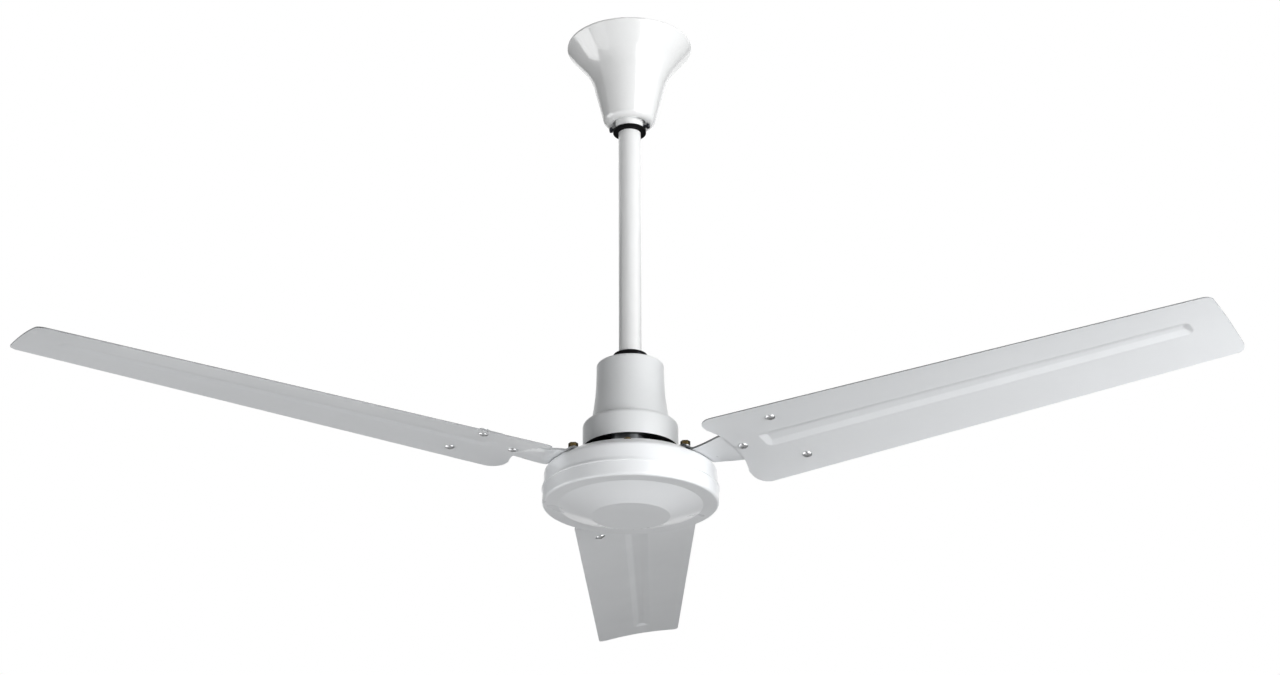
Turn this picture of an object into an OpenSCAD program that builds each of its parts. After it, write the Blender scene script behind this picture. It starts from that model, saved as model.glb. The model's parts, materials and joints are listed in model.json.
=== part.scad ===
// Industrial ceiling fan: hanger, downrod, two canopies, outer rotor motor and three pressed blades.
// The origin lies on the ceiling plane above the downrod and +Z points up. All sizes are in millimetres.
// Heights inside the motor and the blades are counted from the blade plane, at the middle blade screw.

/* [Hanger bracket] */
// Length of the bracket plate on the ceiling
plate_l = 110; // [104:1:116]
// Thickness of the bracket sheet
plate_t = 3; // [2.5:0.1:3.5]
// Distance between the two ceiling slots
slot_spacing = 84; // [80:1:88]
// Width of a ceiling slot
slot_w = 6.5; // [5.5:0.1:7.5]
// Length of a ceiling slot from end to end
slot_l = 12; // [9:0.5:13]
// Width of an ear where it leaves the plate
ear_w = 30; // [28:1:32]
// Radius of the round lower end of an ear
ear_r = 12; // [11:0.5:14]
// Depth of the hanger bolt below the ceiling
pin_drop = 38; // [36:0.5:42]
// Diameter of the hanger bolt
pin_d = 10; // [8:0.5:12]
// Length of the rubber roller
roller_l = 30; // [28:0.5:33]
// Diameter of the roller's flanges
roller_d = 36; // [34:0.5:38]
// Thickness of a roller flange
roller_flange = 3.5; // [3:0.1:4]
// Length of the terminal block
terminal_l = 28; // [24:1:30]
// Width of the terminal block
terminal_w = 15; // [12:0.5:16]
// Height of the terminal block
terminal_h = 14; // [10:0.5:15]

/* [Downrod] */
// Diameter of the downrod tube
rod_d = 26.9; // [25:0.1:28]
// Wall of the downrod tube
rod_wall = 2.6; // [2:0.1:3]
// Length of the downrod tube
rod_l = 441; // [350:1:900]
// Distance from the hanger bolt's axis to the top of the tube
rod_below_pin = 22; // [21:0.5:26]
// Sheet thickness of the strap that hangs on the roller
strap_t = 3; // [2.5:0.1:3.5]
// Length of the strap's legs below the hanger bolt's axis
strap_l = 62; // [58:1:66]
// Distance from the top of the tube to the strap bolt
strap_bolt_in = 25; // [22:0.5:26]
// Diameter of the bolts that cross the tube
cross_bolt_d = 8; // [7:0.5:9]
// Diameter of the sleeve round the motor leads
sleeve_d = 6; // [4.5:0.1:6.2]

/* [Upper canopy] */
// Gap between the canopy's rim and the ceiling
canopy_gap = 7.5; // [6:0.5:10]
// Height of the upper canopy
canopy_h = 114.8; // [110:0.1:120]
// Diameter of the upper canopy
canopy_d = 152.2; // [148:0.2:160]
// Diameter of the bell's foot
canopy_foot_d = 60.6; // [59:0.1:63]
// Slope of the bell's lower wall, in degrees from upright
bell_slope = 13.7; // [13:0.1:15]
// Slope of the bell's flare, in degrees from upright
flare_slope = 39.2; // [37:0.1:42]
// Radius of the curve between the wall and the flare
flare_r = 81; // [60:1:90]
// Depth of the hollow between the bell's foot and its neck
foot_hollow = 4.1; // [3.5:0.1:5]
// Length of the neck below the hollow
neck_l = 12; // [11.5:0.5:13]
// Diameter of the neck
neck_d = 34; // [33.4:0.2:35]
// Sheet thickness of both canopies
canopy_t = 1.2; // [0.8:0.1:1.4]
// Diameter of the black collars
collar_d = 40; // [38:0.5:42]
// Thickness of the upper collar's flange
upper_collar_h = 4; // [2:0.1:5]
// Height of the neck screws above the neck's edge
neck_screw_h = 3.8; // [3.4:0.1:4]
// Diameter of the neck screws
neck_screw_d = 4; // [3:0.5:5]

/* [Lower canopy] */
// Diameter of the base ring
base_d = 110.4; // [106:0.2:114]
// Height of the base ring
base_h = 31; // [28:0.5:34]
// Height of the lower canopy
lower_h = 104.6; // [100:0.5:112]
// Diameter of the canopy's upper part
waist_d = 78.6; // [77.8:0.2:82]
// Radius of the long curve from the shoulder to the upper part
waist_r = 310; // [280:5:320]
// Height of the lower collar
lower_collar_h = 13; // [10:0.5:15]
// Gap between the arm bolts' heads and the base ring
base_gap = 5.6; // [4:0.1:8]

/* [Motor] */
// Outer diameter of the upper casing
casing_d = 198.6; // [196:0.2:201]
// Sheet thickness of the casings
casing_t = 1.6; // [1.4:0.1:1.8]
// Height of the casing's flat top above the blade plane
casing_top = 11.5; // [11:0.5:14]
// Diameter of the casing's flat top
top_d = 160; // [159:0.5:162]
// Drop of the sloping shoulder at the wall
shoulder_drop = 14.5; // [13:0.5:16]
// Depth of the seam between the casings below the flat top
seam_depth = 34; // [30:0.5:38]
// Length that the upper wall reaches down into the lower casing
casing_lap = 13.5; // [8:0.5:14]
// Depth of the lower casing's flat ring below the flat top
ring_depth = 53.5; // [53.5:0.5:56]
// Inner diameter of that flat ring
ring_in_d = 165.4; // [164:0.2:170]
// Diameter of the flat disc under the motor
disc_d = 90; // [80:1:100]
// Depth of that disc below the flat top
disc_depth = 66.7; // [66:0.1:70]
// Distance from the axis to the casing screws
casing_screw_r = 85; // [84.5:0.1:86]
// Diameter of the casing screws
casing_screw_d = 4; // [3:0.5:4]
// Depth of the casing screws' seats below the flat top
seat_depth = 6.9; // [6:0.1:8]
// Diameter of the stator core
stator_d = 152; // [148:0.5:152.4]
// Height of the stator and rotor cores
core_h = 18; // [14:0.5:19]
// Depth of the cores' top below the flat top
core_depth = 24.5; // [23:0.5:26]
// Air gap between stator and rotor
air_gap = 0.5; // [0.4:0.05:0.8]
// Number of stator slots
slots = 18; // [12:6:24]
// Width of a stator slot
slot_open = 9; // [6:0.5:9]
// Height of the windings beyond the core
coil_h = 8.6; // [6:0.1:8.8]
// Diameter of the shaft between the bearings
shaft_d = 24; // [22.5:0.5:26]
// Diameter of the bore for the leads
lead_bore_d = 6.6; // [6.4:0.1:7]

/* [Bearings] */
// Bore of the upper bearing
upper_bore = 20; // [19.8:0.1:20.2]
// Outer diameter of the upper bearing
upper_outer = 47; // [46.8:0.1:47.4]
// Width of the upper bearing
upper_width = 14; // [13.8:0.1:14.2]
// Ball diameter of the upper bearing
upper_ball = 7.94; // [7.6:0.02:8.1]
// Bore of the lower bearing
lower_bore = 15; // [14.8:0.1:15.2]
// Outer diameter of the lower bearing
lower_outer = 35; // [34.8:0.1:35.4]
// Width of the lower bearing
lower_width = 11; // [10.8:0.1:11.2]
// Ball diameter of the lower bearing
lower_ball = 5.95; // [5.7:0.05:6.1]
// Balls in each bearing
balls = 8; // [6:1:8]

/* [Coupling] */
// Diameter of the motor coupling
coupling_d = 44; // [42:0.5:46]
// Length of the shaft inside the coupling
shaft_grip = 38; // [34:0.5:42]
// Length of the tube inside the coupling
rod_grip = 67.8; // [66:0.1:72]
// Gap between the motor's top and the coupling
coupling_gap = 10.5; // [9.5:0.5:14]
// Distance from the tube's lower end to the coupling bolt
coupling_bolt_in = 33; // [28:0.5:38]
// Width of the capacitor
capacitor_w = 30; // [26:0.5:31]
// Thickness of the capacitor
capacitor_t = 12; // [10:0.2:12.4]
// Height of the capacitor
capacitor_h = 36; // [30:0.5:40]
// Height of the clamp band round the capacitor
clamp_h = 10; // [6:0.5:12]

/* [Blades] */
// Diameter that the blades sweep
sweep_d = 1422; // [1200:1:1500]
// Distance from the axis to the middle blade screw
blade_screw_r = 149; // [147:0.5:152]
// Width of a blade at its root
blade_root_w = 150; // [146:1:156]
// Width of a blade at its tip
blade_tip_w = 112; // [100:1:120]
// Sheet thickness of a blade
blade_t = 1.2; // [1:0.1:1.6]
// Pitch of a blade about its own length, in degrees
blade_pitch = 9.65; // [8:0.05:11]
// Rise of a blade towards its tip, in degrees
blade_rise = 2.45; // [1.5:0.05:3]
// Turn of a blade's middle line from the radius, in degrees
blade_skew = 1.85; // [1:0.05:2.5]
// Radius of a blade's camber
camber_r = 455; // [420:5:520]
// Distance from the axis to a blade's root edge
root_edge_r = 139; // [137:0.5:140]
// Radius of the root's corners
root_corner = 19; // [15:0.5:20]
// Radius of the tip's corners
tip_corner = 10; // [6:0.5:14]
// Height of the pressed bead
bead_h = 2.7; // [2:0.1:3]
// Width of the bead at its root end
bead_root_w = 29; // [27:0.5:30]
// Width of the bead at its tip end
bead_tip_w = 22; // [21:0.5:26]
// Width of the bead's sloping side
bead_side = 8; // [7:0.5:8.5]
// Distance from the middle blade screw to the bead
bead_start = 25; // [24.5:0.5:32]
// Distance from the bead to the tip edge
bead_end = 38; // [30:1:50]
// Distance from the middle screw to the outer pair, along the blade
screw_out = 57.5; // [55:0.5:60]
// Distance of the outer pair from the blade's middle line
screw_side = 44.2; // [43:0.2:46]
// Diameter of the blade screws and the arm bolts
screw_d = 6; // [5:0.5:6.4]
// Diameter of a blade screw's round head
screw_head_d = 11; // [10:0.5:11.5]
// Height of a blade screw's round head
screw_head_h = 3; // [2.4:0.1:3.4]

/* [Blade arms] */
// Sheet thickness of an arm
arm_t = 2.5; // [2:0.1:3]
// Distance from the axis to the outer arm bolt
arm_bolt_r = 73.5; // [72.5:0.1:73.8]
// Distance from the outer to the inner arm bolt
arm_bolt_pitch = 23.5; // [20:0.5:26]
// Height of an arm bolt's head
arm_head_h = 5.2; // [4:0.1:5.6]
// Distance from the axis to the arm's inner end
arm_in_r = 40; // [38:0.5:41]
// Distance from the axis to the arm's upper bend
bend_in_r = 89; // [87:0.5:92]
// Distance from the axis to the arm's lower bend
bend_out_r = 121; // [119:0.5:123]
// Width of the arm's trailing side at the upper bend
arm_trail_w = 15.5; // [14:0.5:18]
// Width of the arm's leading side at the upper bend
arm_lead_w = 24; // [22:0.5:26]

/* [Turn of the rotor] */
// Direction of the first blade at rest, in degrees
rest_turn = -32.26; // [-60:0.5:60]

/* [Hidden] */
$fn = 96;

// Blades and arms, 120 degrees apart
blades = 3;

// Clearances: a press fit, a close fit, a running fit, a gap between faces, and a bolt hole's extra
// diameter
press_gap = 0.02;
close_gap = 0.05;
run_gap = 0.08;
face_gap = 0.3;
hole_gap = 0.2;

// Length by which a cut passes the face that it opens
over = 1;

// Fixed sizes that several parts share: the arm washers, the gap between the shaft's end and the tube,
// the split pins and their length past the bolt, the shank left over past a castle nut, and the
// terminal block's screw hole
washer_t = 1.6;
shaft_gap = 2;
split_d = 2;
split_over = 3;
pin_tail = 5;
terminal_screw_d = 3.4;

// Colours as the photograph shows them
white_enamel = "#eceeef";
satin_grey = "#c9ccce";
zinc = "#b9bcbe";
steel = "#8e9296";
black_plastic = "#1b1b1c";
dark_rubber = "#2a2a2b";
copper = "#b5713c";
brass = "#a58f5c";
cream_plastic = "#dcd8c8";

// Heights of the main stations, from the ceiling down
rod_r = rod_d / 2;
rod_top_z = -pin_drop - rod_below_pin;
rod_end_z = rod_top_z - rod_l;
coupling_top_z = rod_end_z + rod_grip;
coupling_low_z = rod_end_z - shaft_grip - shaft_gap;
plane_z = coupling_low_z - coupling_gap - casing_top;
neck_edge_z = -canopy_gap - canopy_h;
strap_bolt_z = rod_top_z - strap_bolt_in;
coupling_bolt_z = rod_end_z + coupling_bolt_in;
base_z = plane_z + casing_top + arm_t + washer_t + arm_head_h + base_gap;

// Side play of the strap between the roller's flanges
strap_play = 0.5;

// Sizes that follow from the fits
strap_in_r = rod_r + 2 * close_gap;
roller_core_r = strap_in_r - close_gap;
strap_w = roller_l - 2 * roller_flange - 2 * strap_play;
ear_in_x = roller_l / 2 + face_gap;
ear_out_x = ear_in_x + plate_t;
casing_r = casing_d / 2;
rotor_r = casing_r - casing_t - close_gap;
stator_r = stator_d / 2;
rotor_in_r = stator_r + air_gap;
coupling_r = coupling_d / 2;
collar_in_r = rod_r + run_gap;
neck_in_r = neck_d / 2 - canopy_t;

// Heights of the motor's parts, from the blade plane, with the drops of the leads' exit and the capacitor
seam_h = casing_top - seam_depth;
ring_h = casing_top - ring_depth;
disc_h = casing_top - disc_depth;
upper_bearing_h = casing_top - casing_t - upper_width;
lower_bearing_h = disc_h + casing_t;
core_top_h = casing_top - core_depth;
core_low_h = core_top_h - core_h;
shaft_top_h = casing_top + coupling_gap + shaft_grip;
lead_exit = 6;
lead_bore_h = upper_bearing_h - lead_exit;
capacitor_drop = 72;
capacitor_z = coupling_top_z - capacitor_drop;
clamp_up = 6;

// Sizes of metric fasteners, by their diameter
function across_flats(d) = lookup(d, [[3, 5.5], [4, 7], [5, 8], [6, 10], [8, 13], [10, 16], [12, 18]]);
function head_h(d) = lookup(d, [[3, 2], [4, 2.8], [5, 3.5], [6, 4], [8, 5.3], [10, 6.4], [12, 7.5]]);
function nut_h(d) = lookup(d, [[3, 2.4], [4, 3.2], [5, 4.7], [6, 5.2], [8, 6.8], [10, 8.4], [12, 10.8]]);

// Plane geometry: unit vector, quarter turn to the left, first two entries
function unit(v) = v / norm(v);
function left(v) = [-v.y, v.x];
function flat(p) = [p[0], p[1]];
function mix(a, b, t) = a + (b - a) * t;

// Points of an arc round c, one for every 7.5 degrees
function arc(c, r, a0, a1) =
    let(n = max(2, ceil(abs(a1 - a0) / 7.5)))
    [for (i = [0:n]) c + r * [cos(mix(a0, a1, i / n)), sin(mix(a0, a1, i / n))]];

// Corner p between its neighbours a and b, rounded by the radius r
function corner(a, p, b, r) =
    let(u = unit(a - p), v = unit(b - p), half = acos(max(-1, min(1, u * v))) / 2)
    r <= 0 || half > 89.9 ? [p] :
    let(c = p + unit(u + v) * r / sin(half), s = p + u * r / tan(half), e = p + v * r / tan(half),
        a0 = atan2(s.y - c.y, s.x - c.x), a1 = atan2(e.y - c.y, e.x - c.x),
        turn = (a1 - a0 + 900) % 360 - 180)
    arc(c, r, a0, a0 + turn);

// Closed outline through points [x, y, radius]
function loop(p) =
    let(n = len(p))
    [for (i = [0:n - 1]) each corner(flat(p[(i + n - 1) % n]), flat(p[i]), flat(p[(i + 1) % n]),
        p[i][2])];

// Open path through points [x, y, radius]
function path(p) =
    let(n = len(p))
    [for (i = [0:n - 1]) each i == 0 || i == n - 1 ? [flat(p[i])] :
        corner(flat(p[i - 1]), flat(p[i]), flat(p[i + 1]), p[i][2])];

// The same path moved to its left by t, with its arcs round the same centres
function beside(p, t) =
    let(n = len(p))
    [for (i = [0:n - 1])
        let(d0 = unit(flat(i > 0 ? p[i] - p[i - 1] : p[1] - p[0])),
            d1 = i < n - 1 ? unit(flat(p[i + 1] - p[i])) : d0,
            m = unit(left(d0) + left(d1)),
            k = t / (m * left(d0)),
            q = flat(p[i]) + k * m)
        [q.x, q.y, p[i][2] == 0 ? 0 : max(0.05, p[i][2] - sign(cross(d0, d1)) * t)]];

// Outline of a sheet of thickness t that lies to the left of a path
function sheet(p, t) =
    let(inner = path(beside(p, t)), n = len(inner))
    concat(path(p), [for (i = [n - 1:-1:0]) inner[i]]);

// Turned solid of a sheet whose outer face follows the path of [radius, height, rounding]
module spun(p, t) {
    rotate_extrude(convexity = 8)
        polygon(sheet(p, t));
}

// Tube between two heights
module tube(r_out, r_in, low, high) {
    rotate_extrude()
        polygon([[r_in, low], [r_out, low], [r_out, high], [r_in, high]]);
}

// Hexagon prism by its width across flats, with flat sides square to the X axis
module hexagon(af, h) {
    rotate([0, 0, 30])
        cylinder(h = h, r = af / 2 / cos(30), $fn = 6);
}

// Bolt along +Z: its head lies below zero and its shank above
module bolt(d, l, af, head) {
    translate([0, 0, -head])
        hexagon(af, head);
    translate([0, 0, -head / 2])
        cylinder(h = l + head / 2, d = d, $fn = 48);
}

// Nut on a bolt along +Z, seated at zero
module nut(d) {
    difference() {
        hexagon(across_flats(d), nut_h(d));
        translate([0, 0, -over])
            cylinder(h = nut_h(d) + 2 * over, d = d + 2 * close_gap, $fn = 48);
    }
}

// Split pin along +Z through the centre: a round eye, two half round legs and spread tips
module split_pin(d, l) {
    wire = d / 2;
    eye_r = d * 0.9;
    translate([0, 0, -l / 2 - eye_r])
        rotate([0, 90, 0])
            rotate_extrude($fn = 24)
                translate([eye_r, 0])
                    circle(d = wire, $fn = 16);
    translate([0, 0, -l / 2 - 0.3])
        cylinder(h = l, d = d, $fn = 24);
    for (side = [-1, 1])
        translate([0, side * wire / 2, l / 2 - 0.4])
            rotate([-35 * side, 0, 0])
                cylinder(h = 2 * d, d = wire, $fn = 16);
}

// Places its children on each of the rotor's arms
module each_arm() {
    for (i = [0:blades - 1])
        rotate([0, 0, rest_turn + i * 360 / blades])
            children();
}

// Moves its children from the ceiling's frame to the blade plane
module at_plane() {
    translate([0, 0, plane_z])
        children();
}

// Section of the bracket across its ears, which are folded down from the plate
module ear_section() {
    ear_fold_r = 1.5;
    fold = ear_fold_r + plate_t;
    section = path([[-ear_out_x, -pin_drop - ear_r, 0], [-ear_out_x, 0, fold], [ear_out_x, 0, fold],
        [ear_out_x, -pin_drop - ear_r, 0]]);
    inner = path([[-ear_in_x, -pin_drop - ear_r, 0], [-ear_in_x, -plate_t, ear_fold_r],
        [ear_in_x, -plate_t, ear_fold_r], [ear_in_x, -pin_drop - ear_r, 0]]);
    rotate([90, 0, 0])
        linear_extrude(ear_w, center = true)
            polygon(concat(section, [for (i = [len(inner) - 1:-1:0]) inner[i]]));
}

// Distance from the axis to the terminal block's middle
terminal_y = ear_w / 2 + 2 + terminal_w / 2;

module hanger_bracket() {
    corner_r = 6;
    relief = 2;
    waist_l = 8;
    color(zinc)
    difference() {
        union() {
            intersection() {
                ear_section();
                rotate([90, 0, 90])
                    linear_extrude(2 * (ear_out_x + over), center = true)
                        polygon(loop([[-ear_w / 2, over, 0], [-ear_w / 2, -plate_t - waist_l,
                            waist_l / 2],
                            [-ear_r, -pin_drop - ear_r, ear_r - close_gap],
                                [ear_r, -pin_drop - ear_r, ear_r - close_gap],
                            [ear_w / 2, -plate_t - waist_l, waist_l / 2], [ear_w / 2, over, 0]]));
            }
            for (side = [-1, 1])
                translate([0, 0, -plate_t])
                    linear_extrude(plate_t)
                        polygon(loop([[-ear_out_x, side * (ear_w / 2 + relief), 0],
                            [-ear_out_x, side * plate_l / 2, corner_r],
                                [ear_out_x, side * plate_l / 2, corner_r],
                            [ear_out_x, side * (ear_w / 2 + relief), 0]]));
            translate([-ear_in_x + relief, -ear_w / 2 - relief - over, -plate_t])
                cube([2 * (ear_in_x - relief), ear_w + 2 * (relief + over), plate_t]);
        }
        for (side = [-1, 1])
            translate([0, side * slot_spacing / 2, 0])
                for (end = [-1, 1])
                    translate([0, end * (slot_l - slot_w) / 2, -plate_t - over])
                        cylinder(h = plate_t + 2 * over, d = slot_w, $fn = 48);
        for (side = [-1, 1])
            translate([-slot_w / 2, side * slot_spacing / 2 - (slot_l - slot_w) / 2, -plate_t - over])
                cube([slot_w, slot_l - slot_w, plate_t + 2 * over]);
        translate([-ear_out_x - over, 0, -pin_drop])
            rotate([0, 90, 0])
                cylinder(h = 2 * (ear_out_x + over), d = pin_d + hole_gap, $fn = 48);
        for (side = [-1, 1])
            translate([0, side * terminal_y, -plate_t - over])
                cylinder(h = plate_t + 2 * over, d = terminal_screw_d, $fn = 32);
    }
}

module hanger_bolt() {
    tip_x = ear_out_x + nut_h(pin_d) + pin_tail;
    color(zinc)
    difference() {
        translate([-ear_out_x, 0, -pin_drop])
            rotate([0, 90, 0])
                bolt(pin_d, ear_out_x + tip_x, across_flats(pin_d), head_h(pin_d));
        translate([tip_x - pin_tail / 2, 0, -pin_drop - pin_d])
            cylinder(h = 2 * pin_d, d = split_d + hole_gap, $fn = 24);
    }
}

module hanger_nut() {
    color(zinc)
    translate([ear_out_x, 0, -pin_drop])
        rotate([0, 90, 0])
            nut(pin_d);
}

module hanger_split_pin() {
    color(zinc)
    translate([ear_out_x + nut_h(pin_d) + pin_tail / 2, 0, -pin_drop])
        rotate([180, 0, 0])
            split_pin(split_d, pin_d + split_over);
}

module rubber_roller() {
    half = roller_l / 2;
    groove = half - roller_flange;
    color(dark_rubber)
    translate([0, 0, -pin_drop])
        rotate([0, 90, 0])
            rotate_extrude()
                polygon(loop([[pin_d / 2 + press_gap, -half, 0], [roller_d / 2, -half, 1],
                    [roller_d / 2, -groove, 1],
                    [roller_core_r, -groove, 0.3], [roller_core_r, groove, 0.3],
                        [roller_d / 2, groove, 1],
                    [roller_d / 2, half, 1], [pin_d / 2 + press_gap, half, 0]]));
}

// Three way block with a row of wire holes and a row of clamp screw holes
module terminal_block() {
    ways = 3;
    way = terminal_l / ways;
    base_t = 4;
    notch = 1.6;
    wire_d = 3.6;
    color(cream_plastic)
    translate([0, terminal_y, -plate_t - terminal_h])
        difference() {
            union() {
                translate([-terminal_l / 2, -terminal_w / 2, terminal_h - base_t])
                    cube([terminal_l, terminal_w, base_t]);
                for (i = [0:ways - 1])
                    translate([(i - (ways - 1) / 2) * way - (way - notch) / 2, -terminal_w / 2, 0])
                        cube([way - notch, terminal_w, terminal_h - base_t / 2]);
            }
            for (i = [0:ways - 1])
                translate([(i - (ways - 1) / 2) * way, 0, 0]) {
                    translate([0, -terminal_w / 2 - over, (terminal_h - base_t) / 2])
                        rotate([-90, 0, 0])
                            cylinder(h = terminal_w + 2 * over, d = wire_d, $fn = 24);
                    for (side = [-1, 1])
                        translate([0, side * terminal_w / 4, -over])
                            cylinder(h = terminal_h / 2, d = wire_d * 1.05, $fn = 24);
                }
        }
}

// Strap: a sheet bent over the roller whose two legs hold the tube between them
module rod_strap() {
    leg_end = -strap_l;
    mid_r = strap_in_r + strap_t;
    color(zinc)
    translate([0, 0, -pin_drop])
        difference() {
            intersection() {
                rotate([90, 0, 90])
                    linear_extrude(strap_w, center = true)
                        difference() {
                            union() {
                                circle(r = mid_r);
                                translate([-mid_r, leg_end])
                                    square([2 * mid_r, -leg_end]);
                            }
                            circle(r = strap_in_r);
                            translate([-strap_in_r, leg_end - over])
                                square([2 * strap_in_r, over - leg_end]);
                        }
                rotate([90, 0, 0])
                    linear_extrude(2 * (mid_r + over), center = true)
                        polygon(loop([[-strap_w / 2, mid_r + over, 0],
                            [-strap_w / 2, leg_end, strap_w / 2 - close_gap],
                            [strap_w / 2, leg_end, strap_w / 2 - close_gap],
                                [strap_w / 2, mid_r + over, 0]]));
            }
            translate([0, mid_r + over, strap_bolt_z + pin_drop])
                rotate([90, 0, 0])
                    cylinder(h = 2 * (mid_r + over), d = cross_bolt_d + hole_gap, $fn = 48);
        }
}

// Bolt that crosses the tube along Y, with its head against a face at y = -seat
module cross_bolt(seat, z) {
    tip = seat + nut_h(cross_bolt_d) + pin_tail;
    difference() {
        translate([0, -seat, z])
            rotate([-90, 0, 0])
                bolt(cross_bolt_d, seat + tip, across_flats(cross_bolt_d), head_h(cross_bolt_d));
        translate([0, tip - pin_tail / 2, z - cross_bolt_d])
            cylinder(h = 2 * cross_bolt_d, d = split_d + hole_gap, $fn = 24);
    }
}

module cross_nut(seat, z) {
    translate([0, seat, z])
        rotate([-90, 0, 0])
            nut(cross_bolt_d);
}

module cross_split_pin(seat, z) {
    translate([0, seat + nut_h(cross_bolt_d) + pin_tail / 2, z])
        rotate([180, 0, 90])
            split_pin(split_d, cross_bolt_d + split_over);
}

// Seats of the cross bolts' heads and nuts, from the axis: on the strap, and on a spot face in the
// coupling
strap_seat = strap_in_r + strap_t;
spot_depth = 1.5;
coupling_seat = coupling_r - spot_depth;

module strap_bolt() {
    color(zinc) cross_bolt(strap_seat, strap_bolt_z);
}

module strap_nut() {
    color(zinc) cross_nut(strap_seat, strap_bolt_z);
}

module strap_split_pin() {
    color(zinc) cross_split_pin(strap_seat, strap_bolt_z);
}

module coupling_bolt() {
    color(zinc) cross_bolt(coupling_seat, coupling_bolt_z);
}

module coupling_nut() {
    color(zinc) cross_nut(coupling_seat, coupling_bolt_z);
}

module coupling_split_pin() {
    color(zinc) cross_split_pin(coupling_seat, coupling_bolt_z);
}

module downrod() {
    color(white_enamel)
    difference() {
        tube(rod_r, rod_r - rod_wall, rod_end_z, rod_top_z);
        for (z = [strap_bolt_z, coupling_bolt_z])
            translate([0, rod_d, z])
                rotate([90, 0, 0])
                    cylinder(h = 2 * rod_d, d = cross_bolt_d + hole_gap, $fn = 48);
    }
}

// Two set screws lock the shaft in the coupling
set_screw_d = 6;
set_screw_heights = [10, 26];
coupling_edge = 1.5;

module motor_coupling() {
    shaft_hole_top = coupling_low_z + shaft_grip + shaft_gap;
    color(steel)
    difference() {
        rotate_extrude()
            polygon(loop([[upper_bore / 2 + press_gap, coupling_low_z, 0],
                [coupling_r, coupling_low_z, coupling_edge],
                [coupling_r, coupling_top_z, coupling_edge], [rod_r + press_gap, coupling_top_z, 0],
                [rod_r + press_gap, shaft_hole_top, 0], [upper_bore / 2 + press_gap, shaft_hole_top,
                    0]]));
        translate([0, coupling_d, coupling_bolt_z])
            rotate([90, 0, 0])
                cylinder(h = 2 * coupling_d, d = cross_bolt_d + hole_gap, $fn = 48);
        for (side = [-1, 1])
            translate([0, side * coupling_seat, coupling_bolt_z])
                rotate([-90 * side, 0, 0])
                    cylinder(h = coupling_r, d = across_flats(cross_bolt_d) * 1.2, $fn = 48);
        for (h = set_screw_heights)
            translate([0, 0, coupling_low_z + h])
                rotate([0, -90, 0])
                    cylinder(h = coupling_d, d = set_screw_d + 2 * close_gap, $fn = 32);
    }
}

module coupling_set_screws() {
    socket = 3;
    l = coupling_r - upper_bore / 2;
    color(black_plastic)
    for (h = set_screw_heights)
        translate([-upper_bore / 2 - close_gap, 0, coupling_low_z + h])
            rotate([0, -90, 0])
                difference() {
                    cylinder(h = l, d = set_screw_d, $fn = 32);
                    translate([0, 0, l - socket])
                        cylinder(h = socket + over, d = socket / cos(30), $fn = 6);
                }
}

// Capacitor: a flat plastic case with round edges and two tags on top
module capacitor() {
    x0 = coupling_r + face_gap;
    tag = [0.8, 4.8, 7];
    round = 2;
    color(black_plastic) {
        translate([x0, 0, capacitor_z])
            linear_extrude(capacitor_h)
                polygon(loop([[0, -capacitor_w / 2, round], [capacitor_t, -capacitor_w / 2, round],
                    [capacitor_t, capacitor_w / 2, round], [0, capacitor_w / 2, round]]));
        for (side = [-1, 1])
            translate([x0 + (capacitor_t - tag.x) / 2, side * capacitor_w / 5 - tag.y / 2,
                capacitor_z + capacitor_h - 0.5])
                cube(tag);
    }
}

// Clamp: one band of thin sheet round the coupling and the capacitor
module capacitor_clamp() {
    band = 0.8;
    slack = 0.1;
    color(zinc)
    translate([0, 0, capacitor_z + clamp_up])
        linear_extrude(clamp_h)
            difference() {
                clamp_shape(slack + band);
                clamp_shape(slack);
            }
}

module clamp_shape(grow) {
    sides = 48;
    hull() {
        circle(r = (coupling_r + grow) / cos(180 / sides), $fn = sides);
        translate([coupling_r, -capacitor_w / 2 - grow])
            square([face_gap + capacitor_t + grow, capacitor_w + 2 * grow]);
    }
}

// Shaft: a seat for each bearing, the core's seat between them, and a bore for the leads
clip_groove = 0.6;
clip_t = 1.2;

module motor_shaft() {
    clip_low = casing_top - casing_t;
    clip_high = clip_low + clip_t + close_gap;
    end_h = lower_bearing_h + 0.4;
    edge = 0.8;
    color(steel)
    at_plane()
        difference() {
            rotate_extrude()
                polygon(loop([[0, end_h, 0], [lower_bore / 2, end_h, edge],
                    [lower_bore / 2, lower_bearing_h + lower_width, 0],
                    [shaft_d / 2, lower_bearing_h + lower_width, edge],
                        [shaft_d / 2, upper_bearing_h, edge],
                    [upper_bore / 2, upper_bearing_h, 0], [upper_bore / 2, clip_low, 0],
                    [upper_bore / 2 - clip_groove, clip_low, 0],
                        [upper_bore / 2 - clip_groove, clip_high, 0],
                    [upper_bore / 2, clip_high, 0], [upper_bore / 2, shaft_top_h, edge],
                    [lead_bore_d / 2, shaft_top_h, 0], [lead_bore_d / 2, lead_bore_h, 0],
                        [0, lead_bore_h, 0]]));
            translate([0, 0, lead_bore_h + lead_bore_d / 2])
                rotate([0, 90, 0])
                    cylinder(h = shaft_d, d = lead_bore_d - 1, $fn = 32);
        }
}

module shaft_circlip() {
    rim = 3;
    opening = 6;
    color(steel)
    at_plane()
        difference() {
            tube(upper_bore / 2 + rim, upper_bore / 2 - clip_groove + press_gap, casing_top - casing_t,
                casing_top - casing_t + clip_t);
            translate([0, -opening / 2, casing_top - casing_t - over])
                cube([upper_bore, opening, clip_t + 2 * over]);
        }
}

// Stator core: a laminated ring with slots that open through a narrow mouth towards the rotor
slot_in_r = 42;
slot_lip = 3;
slot_mouth = 3;

module slot_shape(grow) {
    translate([slot_in_r - grow, -slot_open / 2 - grow])
        square([stator_r - slot_lip - slot_in_r + 2 * grow, slot_open + 2 * grow]);
}

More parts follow.
